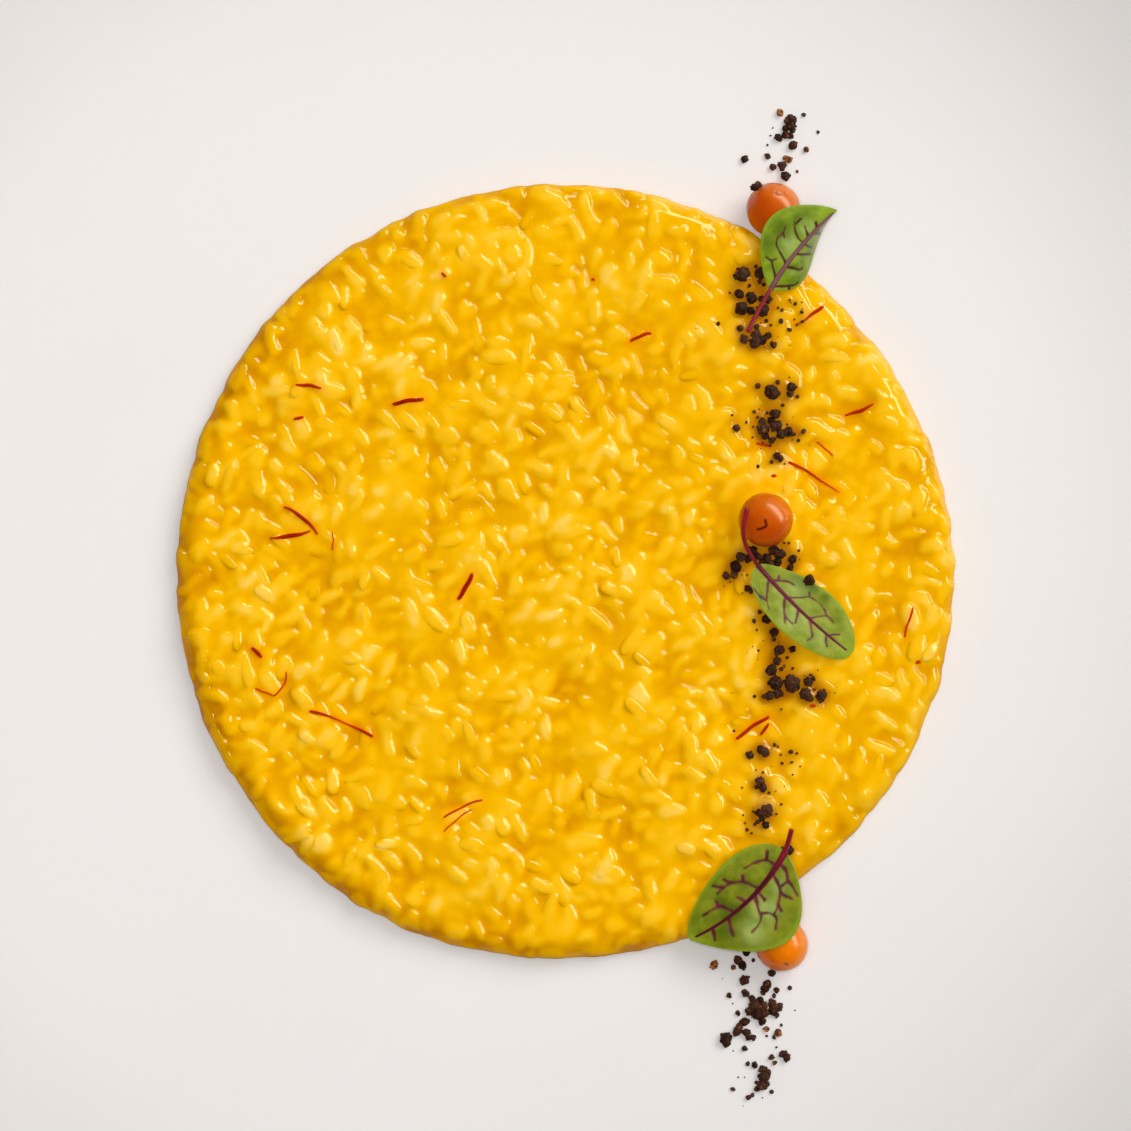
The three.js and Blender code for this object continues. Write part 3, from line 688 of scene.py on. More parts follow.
def veinField(leaf, u, s):
    # nearness to the veins (1 on a vein) and the distance to the nearest one
    length = np.linalg.norm(np.subtract(leaf["tip"], leaf["base"])[:2])
    places = np.stack([u * length, bladeSideways(leaf, u, s)], axis=-1).reshape(-1, 2)
    rib = np.linspace(0, 0.95, 40)
    ribPath = np.stack([rib * length, leaf["bow"] * 4 * rib * (1 - rib)], axis=-1)
    nearRib = distanceToPath(places, ribPath)
    width = leaf["rib"][0] + (leaf["rib"][1] - leaf["rib"][0]) * np.clip(places[:, 0] / length, 0, 1)
    onRib = smoothStep(width * 0.95, width * 0.6, nearRib)
    shown, nearest = smoothStep(width * 1.3, width * 0.8, nearRib), nearRib.copy()
    uneven = 1 + 0.7 * np.array([noise.noise(Vector((x * 0.8, y * 0.8, length))) for x, y in places])
    for vein in leaf["veins"]:
        path = throughPoints(np.array(vein) * [length, 1], 0.3)
        distance = distanceToPath(places, path)
        fade = 1 - 0.35 * np.clip(np.linalg.norm(places - path[0], axis=1) / 6, 0, 1)
        half = leaf["veinHalf"] * fade * uneven
        shown = np.maximum(shown, smoothStep(half * 1.7, half * 0.5, distance) * (0.65 + 0.35 * fade))
        nearest = np.minimum(nearest, distance)
    return shown.reshape(u.shape), nearest.reshape(u.shape), onRib.reshape(u.shape)


def bladeFace(leaf):
    u, s = bladeGrid()
    shown, nearest, onRib = veinField(leaf, u, s)
    middle = bladePoints(leaf, u, s)
    puff = 1 - np.exp(-(nearest / blade["puckerReach"]) ** 2)
    middle[..., 2] += blade["pucker"] * puff * edgeShape(u, 1, 0.5) * (1 - np.abs(s) ** 4)
    along, across = np.gradient(middle, axis=0), np.gradient(middle, axis=1)
    normal = np.cross(along, across)
    normal /= np.linalg.norm(normal, axis=-1)[..., None] + 1e-12
    normal[normal[..., 2] < 0] *= -1
    return u, s, middle, normal, shown, onRib


def leafBlade(name):
    # a broad thin blade: bright green with pale painted highlights toward the window, darker olive patches
    # that are partly painted shade, pale and yellow toward the rim, wine-red veins and a crimson stalk
    leaf = leaves[name]
    material, tree, shader, place = newMaterial("sorrelBlade" + name[4:])
    patches = addNode(tree, "ShaderNodeTexNoise", {
        "Vector": place, "Scale": 1 / (2.8 * mm), "Detail": 5.0, "Roughness": 0.6})
    spread = addNode(tree, "ShaderNodeMapRange", {
        "Value": patches.outputs["Fac"], "From Min": 0.34, "From Max": 0.66})
    green, wine = [addNode(tree, "ShaderNodeMix", {0: spread.outputs[0], 6: linear(leaf[key][0]),
                                                   7: linear(leaf[key][1])}, data_type="RGBA").outputs[2]
                   for key in ("green", "wine")]
    colour = green
    # darker olive patches, partly painted shade, and pale painted highlights go over the green
    for key, over in (("shade", linear(blade["shade"])), ("paintedSheen", linear(blade["paintedSheen"])),
                      ("rim", linear(blade["rim"])), ("vein", wine), ("onRib", linear(leaf["ribTint"])),
                      ("stalk", linear(blade["stalk"]))):
        amount = addNode(tree, "ShaderNodeAttribute", attribute_name=key).outputs["Fac"]
        mixed = addNode(tree, "ShaderNodeMix", {0: amount, 6: colour, 7: over}, data_type="RGBA")
        colour = mixed.outputs[2]
    cells = addNode(tree, "ShaderNodeTexVoronoi", {
        "Vector": place, "Scale": 1 / (0.55 * mm)}, feature="DISTANCE_TO_EDGE")
    bump = addNode(tree, "ShaderNodeBump", {
        "Height": cells.outputs["Distance"], "Strength": 0.4, "Distance": 0.06 * mm})
    plug(tree, shader, {
        "Base Color": colour, "Normal": bump.outputs[0], "Roughness": 0.36, "IOR": 1.45,
        "Subsurface Weight": 0.2, "Subsurface Radius": (0.5, 1.0, 0.15), "Subsurface Scale": 0.4 * mm})
    return material


def leafStem(leaf, middle):
    # the stalk runs into the blade and on along its rib; share is the distance along it
    column = middle.shape[1] // 2
    stalk = throughPoints(leaf["stem"] + [tuple(middle[6, column]), tuple(middle[16, column])], 0.4)
    path = np.vstack([stalk, middle[17:int(len(middle) * 0.93):3, column]])
    share = np.linspace(0, 1, len(path))
    low, high = leaf["rib"]
    radii = np.interp(share, [0, 0.3, 1], [blade["stemRadius"], low * 0.75, high * 0.6])
    return tubeAlong(path, radii, blade["stemSides"]), share


def makeLeaf(name, pieceName):
    leaf = leaves[name]
    u, s, middle, normal, shown, onRib = bladeFace(leaf)
    half = blade["thickness"] / 2
    upper = (middle + normal * half).reshape(-1, 3)
    lower = (middle - normal * half).reshape(-1, 3)
    rows, row = u.shape
    start = len(upper)
    faces = []
    for i in range(rows - 1):
        for j in range(row - 1):
            a = i * row + j
            faces.append((a, a + row, a + row + 1, a + 1))
            faces.append((start + a, start + a + 1, start + a + row + 1, start + a + row))
        near, far = i * row, (i + 1) * row
        faces.append((near, start + near, start + far, far))
        near, far = near + row - 1, far + row - 1
        faces.append((near, far, start + far, start + near))
    last = (rows - 1) * row
    for j in range(row - 1):
        faces.append((j, j + 1, start + j + 1, start + j))
        faces.append((last + j, start + last + j, start + last + j + 1, last + j + 1))
    if np.cross(middle[1, 1] - middle[0, 1], middle[0, 2] - middle[0, 1])[2] < 0:
        faces = [face[::-1] for face in faces]
    stem, share = leafStem(leaf, middle)
    points, allFaces = joinParts([(np.vstack([upper, lower]), faces), stem])

    length = np.linalg.norm(np.subtract(leaf["tip"], leaf["base"])[:2])
    # patches of painted highlight, and darker patches that are partly painted shade
    zones = {"shades": np.zeros(u.shape), "paintedSheens": np.zeros(u.shape)}
    for key, zone in zones.items():
        for across, reach, amount, at in leaf[key]:
            away = np.hypot((u - at) * length, bladeSideways(leaf, u, s) - across)
            np.maximum(zone, amount * np.exp(-(away / reach) ** 2), out=zone)
    rim = 0.6 * smoothStep(0.86, 1.0, np.abs(s)) + 0.5 * smoothStep(0.88, 1.0, u)
    stalk = np.repeat(0.85 * smoothStep(0.5, 0.28, share), blade["stemSides"])
    stalk = np.concatenate([stalk, [stalk[0], 0]])
    # each value over the blade, and along the stem
    fields = {"vein": (shown, 1), "rim": (rim, 0), "shade": (zones["shades"], 0),
              "paintedSheen": (zones["paintedSheens"], 0), "onRib": (0.85 * onRib, 1), "stalk": (0 * u, stalk)}
    values = {key: np.concatenate([field.ravel(), field.ravel(), np.broadcast_to(rod, stalk.shape)])
              for key, (field, rod) in fields.items()}
    return meshPiece(pieceName, points, allFaces, leafBlade(name), values)


def leafUnderside():
    # lowest leaf surface over each place of the plan, far up where there is no leaf
    under = np.full(planX.shape, 99.0)
    for leaf in leaves.values():
        _, _, middle, normal, _, _ = bladeFace(leaf)
        low = (middle - normal * blade["thickness"] / 2).reshape(-1, 3)
        column, row = np.round((low[:, :2].T + risotto["reach"]) / risotto["cell"]).astype(int)
        inside = (column >= 0) & (column < len(axis)) & (row >= 0) & (row < len(axis))
        np.minimum.at(under, (row[inside], column[inside]), low[inside, 2])
    for shift in (1, 2):
        for direction in (0, 1):
            for side in (-shift, shift):
                under = np.minimum(under, np.roll(under, side, axis=direction))
    return under


def layFilm(ground, heap, leafUnder):
    # heights of the body of sauce and of its thin wet skin
    inset = insetOf(planX, planY)
    inside = (inset > 0).astype(float)
    relief = np.clip(heap - ground, -2.0, 1.6)
    weight = softened(inside, sauce["soften"])
    film = softened(relief * inside, sauce["soften"]) / np.maximum(weight, 0.05)
    glossy = smoothStep(*sauce["glossySide"], planX)
    grainy = 1 - smoothStep(*sauce["grainySide"], planX)
    flood = sauce["flood"] + sauce["floodWave"] * driftField(5, 16)
    flood = flood + sauce["glossyFlood"] * glossy + sauce["grainyFlood"] * grainy
    film = flood + sauce["floodBlend"] * np.logaddexp(0, (film - flood) / sauce["floodBlend"])
    film = (film + sauce["cover"] + sauce["glossyCover"] * glossy) * smoothStep(0.0, 1.0, inset)
    # a berry sits in it with a small collar of sauce, and it keeps clear of the leaves
    berry = berries["berryMiddle"]
    centre = berryCentre(berry)
    away = np.hypot(planX - centre[0], planY - centre[1])
    ball = centre[2] - berry["squash"] * np.sqrt(np.maximum(berry["radius"] ** 2 - away ** 2, 0))
    collar = 0.5 * np.exp(-((away - berry["radius"]) / 0.6) ** 2) * (away > berry["radius"] - 0.6)
    wetShare = sauce["wetFlatten"] + sauce["wetWave"] * driftField(6, 14) + sauce["glossyRelief"] * glossy
    levels = []
    for share, shape in ((sauce["flatten"], film), (wetShare, softened(film, sauce["wetBlur"]))):
        level = ground + share * shape
        level = np.where(away < berry["radius"], np.minimum(level, ball - 0.1), level) + collar
        levels.append(np.minimum(level, leafUnder - sauce["leafClearance"]))
    return levels


def easedSlope(tilt):
    # surface tension rounds off what is steeper than a limit
    return (1 + (tilt / sauce["steepest"]) ** 4) ** -0.25


def slopeNormals(grid):
    # unit normals of a height field, as three grids
    down, across = np.gradient(grid, risotto["cell"])
    ease = easedSlope(np.hypot(across, down))
    down, across = down * ease, across * ease
    length = np.sqrt(across ** 2 + down ** 2 + 1)
    return -across / length, -down / length, 1 / length


def bodyFields(film, skin, ground, heap, owner, placed):
    # tone: pale where a milky grain lies just under the surface, deep gold where the sauce is thick, with
    # painted shade darker in the hollows; soft: normals of the glowing body, wet: normals of the thin wet
    # skin
    palest = np.array([grain["pale"] for grain in placed] + [0.0])
    covered = (film - ground) / sauce["flatten"] - (heap - ground)
    closeness = np.exp(-np.clip(covered, 0, 9) / sauce["clearDepth"])
    inset = insetOf(planX, planY)
    milk = softened(closeness * palest[owner], sauce["milkBlur"]) * smoothStep(0.0, 3.5, inset)
    lie = film - ground + swellHeight(planX, planY)
    tone = sauce["tone"] + sauce["milk"] * milk - sauce["drift"] * driftField(8, 9)
    # painted shade: hollows darker, backs and heaps lighter
    for blur, wider, height, amount in (sauce["backs"], sauce["heaps"]):
        relief = softened(lie, blur) - softened(lie, wider)
        tone = tone + amount * np.clip(relief / height, -1.8, 1.3)
    # painted light and shade: the rim is paler toward the light at the upper right and darker gold at the
    # lower left
    gain, loss, direction = sauce["paintedRimLight"]
    side = np.cos(np.arctan2(planY, planX) - math.radians(direction))
    tone = tone + (gain * side - loss) * (1 - smoothStep(*sauce["rimBand"], inset))
    return {"tone": tone, "stain": stainField(), "soilAndShadow": soilAndShadowField(),
            "soft": slopeNormals(softened(film, sauce["bodySpread"])), "wet": slopeNormals(skin)}


def skinValues(piece, fields):
    # stores the body's tones, stains and normals on a piece of the heap, true normals at the rim
    mesh = piece.data
    x, y, _ = pointsOf(mesh).T
    own = np.empty(len(mesh.vertices) * 3, np.float32)
    mesh.vertex_normals.foreach_get("vector", own)
    own = own.reshape(-1, 3)
    tilt = np.hypot(own[:, 0], own[:, 1]) / np.maximum(own[:, 2], 0.02)
    eased = own * [1, 1, 0] * easedSlope(tilt)[:, None]
    eased[:, 2] = own[:, 2]
    rounded = np.where(own[:, 2:] > 0, eased / np.linalg.norm(eased, axis=1)[:, None], own)
    inside = smoothStep(0.4, 1.6, insetOf(x, y))[:, None]
    values = {key: sampleGrid(fields[key], x, y) for key in ("tone", "stain", "soilAndShadow")}
    for key in ("soft", "wet"):
        field = np.stack([sampleGrid(grid, x, y) for grid in fields[key]], axis=-1)
        values[key] = rounded + (field - rounded) * inside
    if piece.name == "riceGrains":
        values["wet"] = rounded
        values["soft"] = 0.75 * values["soft"] + 0.25 * rounded
    storeValues(mesh, values)


def discFaces(rings):
    # small even triangles: ring k has six times k points round the middle one
    faces = []
    for k in range(1, rings + 1):
        outer, inner = 1 + 3 * k * (k - 1), (1 + 3 * (k - 1) * (k - 2) if k > 1 else 0)
        for sector in range(6):
            for i in range(k):
                a = outer + (sector * k + i) % (6 * k)
                b = outer + (sector * k + i + 1) % (6 * k)
                c = inner + ((sector * (k - 1) + i) % (6 * (k - 1)) if k > 1 else 0)
                faces.append((a, b, c))
                if i < k - 1:
                    d = inner + (sector * (k - 1) + i + 1) % (6 * (k - 1))
                    faces.append((b, d, c))
    return faces


def sauceMaterial():
    # starchy saffron sauce over boiled rice: the body glows softly, gold where it is thick and milky
    # over a grain, under a thin wet skin with sharp glints
    material, tree, shader, place = newMaterial("saffronSauce")
    given = {key: addNode(tree, "ShaderNodeAttribute", attribute_name=key)
             for key in ("tone", "stain", "soilAndShadow", "soft", "wet")}
    clouds = addNode(tree, "ShaderNodeTexNoise", {"Vector": place, "Scale": 1 / (2.5 * mm), "Detail": 5.0})
    shift = addNode(tree, "ShaderNodeMapRange", {
        "Value": clouds.outputs["Fac"], "From Min": 0.3, "From Max": 0.7, "To Min": -0.07,
        "To Max": 0.07})
    tone = addNode(tree, "ShaderNodeMath", {
        0: given["tone"].outputs["Fac"], 1: shift.outputs[0]}, operation="ADD")
    ramp = addNode(tree, "ShaderNodeValToRGB", {"Fac": tone.outputs[0]})
    setStops(ramp.color_ramp, sauce["tones"])
    colour = ramp.outputs[0]
    # the second mix is brown juice and painted shadow round the crumbs
    for key in ("stain", "soilAndShadow"):
        colour = addNode(tree, "ShaderNodeMix", {
            0: given[key].outputs["Fac"], 6: colour, 7: linear(sauce[key])}, data_type="RGBA").outputs[2]
    bump = fineRelief(tree, place, 1.3, 3.0, 0.3, 0.2)
    plug(tree, bump, {"Normal": given["wet"].outputs["Vector"]})
    plug(tree, shader, {
        "Base Color": colour, "Normal": given["soft"].outputs["Vector"], "Roughness": 0.35, "IOR": 1.38,
        "Specular IOR Level": 0.0, "Coat Weight": 1.0, "Coat Roughness": 0.05, "Coat IOR": 1.42,
        "Coat Normal": bump.outputs[0]})
    return material


def rimBulge(lumps, angle):
    # the rim swells out a little where a grain lies behind it
    near = outlineRadius(angle) - 1.6
    return sauce["bulge"] * sampleGrid(lumps, near * np.cos(angle), near * np.sin(angle))


def makeFilm(film, lumps, material):
    # an even disc of small triangles, and rings down its shoulder to a flat underside
    rings = risotto["rings"]
    x, y = [np.zeros(1)], [np.zeros(1)]
    for k in range(1, rings + 1):
        angle = 2 * math.pi * np.arange(6 * k) / (6 * k)
        share = k / rings
        bulge = rimBulge(lumps, angle) * smoothStep(0.96, 1.0, share)
        radius = (outlineRadius(angle) - 0.4) * share + bulge
        x.append(radius * np.cos(angle))
        y.append(radius * np.sin(angle))
    x, y = np.concatenate(x), np.concatenate(y)
    keep = np.minimum(1, (outlineRadius(np.arctan2(y, x)) - 0.4) / np.maximum(np.hypot(x, y), 1))
    parts = [np.stack([x, y, sampleGrid(film, x * keep, y * keep)], axis=-1)]
    ring = 6 * rings
    angle = 2 * math.pi * np.arange(ring) / ring
    edge = outlineRadius(angle)
    rise = risotto["rise"] + swellHeight(edge * np.cos(angle), edge * np.sin(angle))
    for slope in (15, 11, 7, 3.5, 0):
        inset = risotto["shoulder"] * (1 - math.cos(math.radians(slope)))
        radius = edge - inset + rimBulge(lumps, angle)
        height = plate["wellHeight"] + rise * math.sin(math.radians(slope))
        parts.append(np.stack([radius * np.cos(angle), radius * np.sin(angle), height], axis=-1))
    parts.append(parts[-1] - [0, 0, 0.05])
    points = np.vstack(parts + [np.array([[0, 0, plate["wellHeight"] - 0.05]])])
    start = len(parts[0]) - ring
    base = start + 6 * ring
    faces = discFaces(rings) + bandFaces(6, ring, start)
    faces += [(len(points) - 1, base + (k + 1) % ring, base + k) for k in range(ring)]
    return meshPiece("sauceFilm", points, faces, material)


def grainTree(material):
    # a ball drawn out to a blunt grain, set on every point with its own turn and size
    inputs = [("Around", "NodeSocketInt"), ("Along", "NodeSocketInt"), ("Blunt", "NodeSocketFloat")]
    tree, given, output = newTree("riceGrain", inputs)
    ball = addNode(tree, "GeometryNodeMeshUVSphere", {
        "Segments": given.outputs["Around"], "Rings": given.outputs["Along"], "Radius": 1.0})
    lying = addNode(tree, "GeometryNodeTransform", {0: ball.outputs[0], "Rotation": (0, math.pi / 2, 0)})
    place = addNode(tree, "GeometryNodeInputPosition")
    split = addNode(tree, "ShaderNodeSeparateXYZ", {0: place.outputs[0]})
    length = addNode(tree, "ShaderNodeMath", {0: split.outputs["X"]}, operation="ABSOLUTE")
    blunted = addNode(tree, "ShaderNodeMath", {
        0: length.outputs[0], 1: given.outputs["Blunt"]}, operation="POWER")
    side = addNode(tree, "ShaderNodeMath", {0: split.outputs["X"]}, operation="SIGN")
    along = addNode(tree, "ShaderNodeMath", {
        0: blunted.outputs[0], 1: side.outputs[0]}, operation="MULTIPLY")
    moved = addNode(tree, "ShaderNodeCombineXYZ", {
        0: along.outputs[0], 1: split.outputs["Y"], 2: split.outputs["Z"]})
    tapered = addNode(tree, "GeometryNodeSetPosition", {
        "Geometry": lying.outputs[0], "Position": moved.outputs[0]})
    turn = addNode(tree, "GeometryNodeInputNamedAttribute", {"Name": "turn"}, data_type="FLOAT_VECTOR")
    size = addNode(tree, "GeometryNodeInputNamedAttribute", {"Name": "size"}, data_type="FLOAT_VECTOR")
    placed = addNode(tree, "GeometryNodeInstanceOnPoints", {
        "Points": given.outputs[0], "Instance": tapered.outputs[0], "Rotation": turn.outputs[0],
        "Scale": size.outputs[0]})
    real = addNode(tree, "GeometryNodeRealizeInstances", {0: placed.outputs[0]})
    smooth = addNode(tree, "GeometryNodeSetShadeSmooth", {0: real.outputs[0]})
    painted = addNode(tree, "GeometryNodeSetMaterial", {
        "Geometry": smooth.outputs[0], "Material": material})
    plug(tree, output, {0: painted.outputs[0]})
    return tree


def makeGrains(placed, film, material):
    # the grains that stand out of the film, their backs a little above it
    proud = [grain for grain in placed if grain["proud"]]
    for grain in proud:
        x, y, _ = grain["centre"]
        grain["centre"] = (x, y, float(sampleGrid(film, x, y)) + grains["proud"] - grain["size"][2])
    values = {"turn": [tuple(grain["turned"].to_euler()) for grain in proud],
              "size": np.array([grain["size"] for grain in proud]) * mm}
    return growPiece("riceGrains", [grain["centre"] for grain in proud], values, grainTree(material),
                     {"Around": grains["around"], "Along": grains["along"], "Blunt": 1 / grains["blunt"]})


# dried threads strewn over the rice
saffron = {
    "radius": 0.36, "sides": 7, "step": 0.5, "sink": 0.1, "wiggle": 0.08, "bleed": 0.5,
    "reds": ("#7c0602", "#b41802"), "thinRed": "#d84a00",
    # one end, other end, sideways bend, thickness, share of it in the middle (below 0: at the start)
    "threads": [
        ((-53.8, 37.4), (-48.8, 36.8), 0.2, 0.85, 1.2), ((-34.4, 33.6), (-28.4, 34.6), 0.15, 1.2, 1.0),
        ((-54.2, 30.6), (-52.4, 31.0), 0.0, 0.9, 1.0), ((-24.6, 59.8), (-23.8, 59.0), 0.0, 0.8, 1.0),
        ((5.4, 58.7), (5.9, 58.5), 0.0, 0.8, 1.0), ((13.2, 46.2), (17.2, 47.8), 0.3, 1.0, 0.9),
        ((-56.2, 13.0), (-49.6, 7.6), 0.7, 0.85, 1.3), ((-59.0, 6.8), (-51.0, 8.2), -0.3, 0.75, 1.7),
        ((-46.6, 8.0), (-46.6, 4.4), 0.2, 0.5, 0.8), ((-21.4, -5.4), (-18.6, -0.4), -0.2, 1.3, 1.0),
        ((-62.6, -15.2), (-60.8, -17.0), 0.1, 1.2, 0.9), ((-62.0, -23.4), (-58.4, -24.8), 0.1, 0.6, 0.8),
        ((-58.4, -24.8), (-55.8, -20.0), -0.8, 0.6, 0.8), ((-51.0, -27.8), (-38.6, -33.0), 0.5, 1.1, 0.45),
        ((-24.2, -49.2), (-16.6, -45.6), 0.4, 0.7, 0.8), ((-24.2, -52.0), (-18.8, -47.6), 0.3, 0.55, 0.7),
        ((55.0, 15.8), (44.8, 22.0), -0.3, 1.0, -0.35), ((56.2, 31.4), (61.8, 33.6), -0.2, 0.75, 1.4),
        ((38.4, 25.8), (41.2, 25.2), 0.0, 0.8, 0.9), ((50.4, 26.0), (53.6, 23.2), 0.2, 0.5, 0.8),
        ((34.4, -33.4), (40.8, -29.0), 0.2, 1.1, 0.9), ((39.2, -32.6), (40.8, -30.4), 0.0, 0.9, 1.0),
        ((46.6, 49.6), (51.6, 53.2), -0.1, 1.2, -0.35), ((68.0, -13.0), (69.8, -7.2), 0.2, 0.7, 0.8),
    ],
    # loose specks: x, y, radius
    "specks": [(41.8, 19.2, 0.45), (70.6, -18.0, 0.6), (49.6, -26.8, 0.5)],
}


def threadPlan(start, end, bend):
    start, end = np.array(start), np.array(end)
    length = np.linalg.norm(end - start)
    t = np.linspace(0, 1, max(4, int(length / saffron["step"])))[:, None]
    side = np.array([start[1] - end[1], end[0] - start[0]]) / length
    wiggle = saffron["wiggle"] * np.sin(9 * t + start[0]) * (length > 3)
    return start + (end - start) * t + side * (bend * 4 * t * (1 - t) + wiggle), t.ravel()


def saffronMaterial():
    # dried crocus stigma, wetted: deep red, orange where it is thin and at its frayed end
    material, tree, shader, place = newMaterial("saffronStigma")
    thin = addNode(tree, "ShaderNodeAttribute", attribute_name="thin").outputs["Fac"]
    red = mottled(tree, place, 0.8, saffron["reds"])
    colour = addNode(tree, "ShaderNodeMix", {
        0: thin, 6: red, 7: linear(saffron["thinRed"])}, data_type="RGBA")
    plug(tree, shader, {
        "Base Color": colour.outputs[2], "Roughness": 0.5, "IOR": 1.4, "Specular IOR Level": 0.12})
    return material


def stainField():
    # saffron bleeds a little colour into the sauce round each thread
    stain = np.zeros(planX.shape)
    for start, end, bend, thickness, _ in saffron["threads"]:
        plan, _ = threadPlan(start, end, bend)
        low, high = plan.min(0) - 4, plan.max(0) + 4
        near = (planX > low[0]) & (planX < high[0]) & (planY > low[1]) & (planY < high[1])
        distance = distanceToPath(np.stack([planX[near], planY[near]], axis=-1), plan)
        shown = saffron["bleed"] * thickness * np.exp(-(distance / 0.9) ** 1.5)
        stain[near] = np.maximum(stain[near], shown)
    return np.clip(stain, 0, 0.7)


def makeSaffron(surface):
    parts, thin = [], []
    for start, end, bend, thickness, waist in saffron["threads"]:
        plan, t = threadPlan(start, end, bend)
        middle = 1 - (1 - waist) * np.sin(math.pi * t) ** 2 if waist > 0 else -waist + (1 + waist) * t
        profile = middle * (0.7 + 0.3 * np.sin(math.pi * t) ** 0.5)
        radii = saffron["radius"] * thickness * profile
        # it bridges the small hollows
        height = sampleGrid(surface, plan[:, 0], plan[:, 1])
        bridged = np.convolve(np.pad(height, 2, mode="edge"), np.ones(5) / 5, mode="valid")
        height = np.maximum(bridged, height - 0.1)
        path = np.column_stack([plan, height + radii * 0.7 - saffron["sink"]])
        parts.append(tubeAlong(path, radii, saffron["sides"]))
        shade = np.clip(1.15 - thickness * profile, 0, 1)
        thin.append(np.concatenate([np.repeat(shade, saffron["sides"]), shade[[0, -1]]]))
    for x, y, radius in saffron["specks"]:
        height = float(sampleGrid(surface, x, y))
        path = [(x - radius, y, height), (x, y + 0.1, height + 0.1), (x + radius, y, height)]
        parts.append(tubeAlong(path, [radius * 0.5, radius * 0.8, radius * 0.5], saffron["sides"]))
        thin.append(np.full(len(parts[-1][0]), 0.6))
    points, faces = joinParts(parts)
    return meshPiece("saffronThreads", points, faces, saffronMaterial(), {"thin": np.concatenate(thin)})


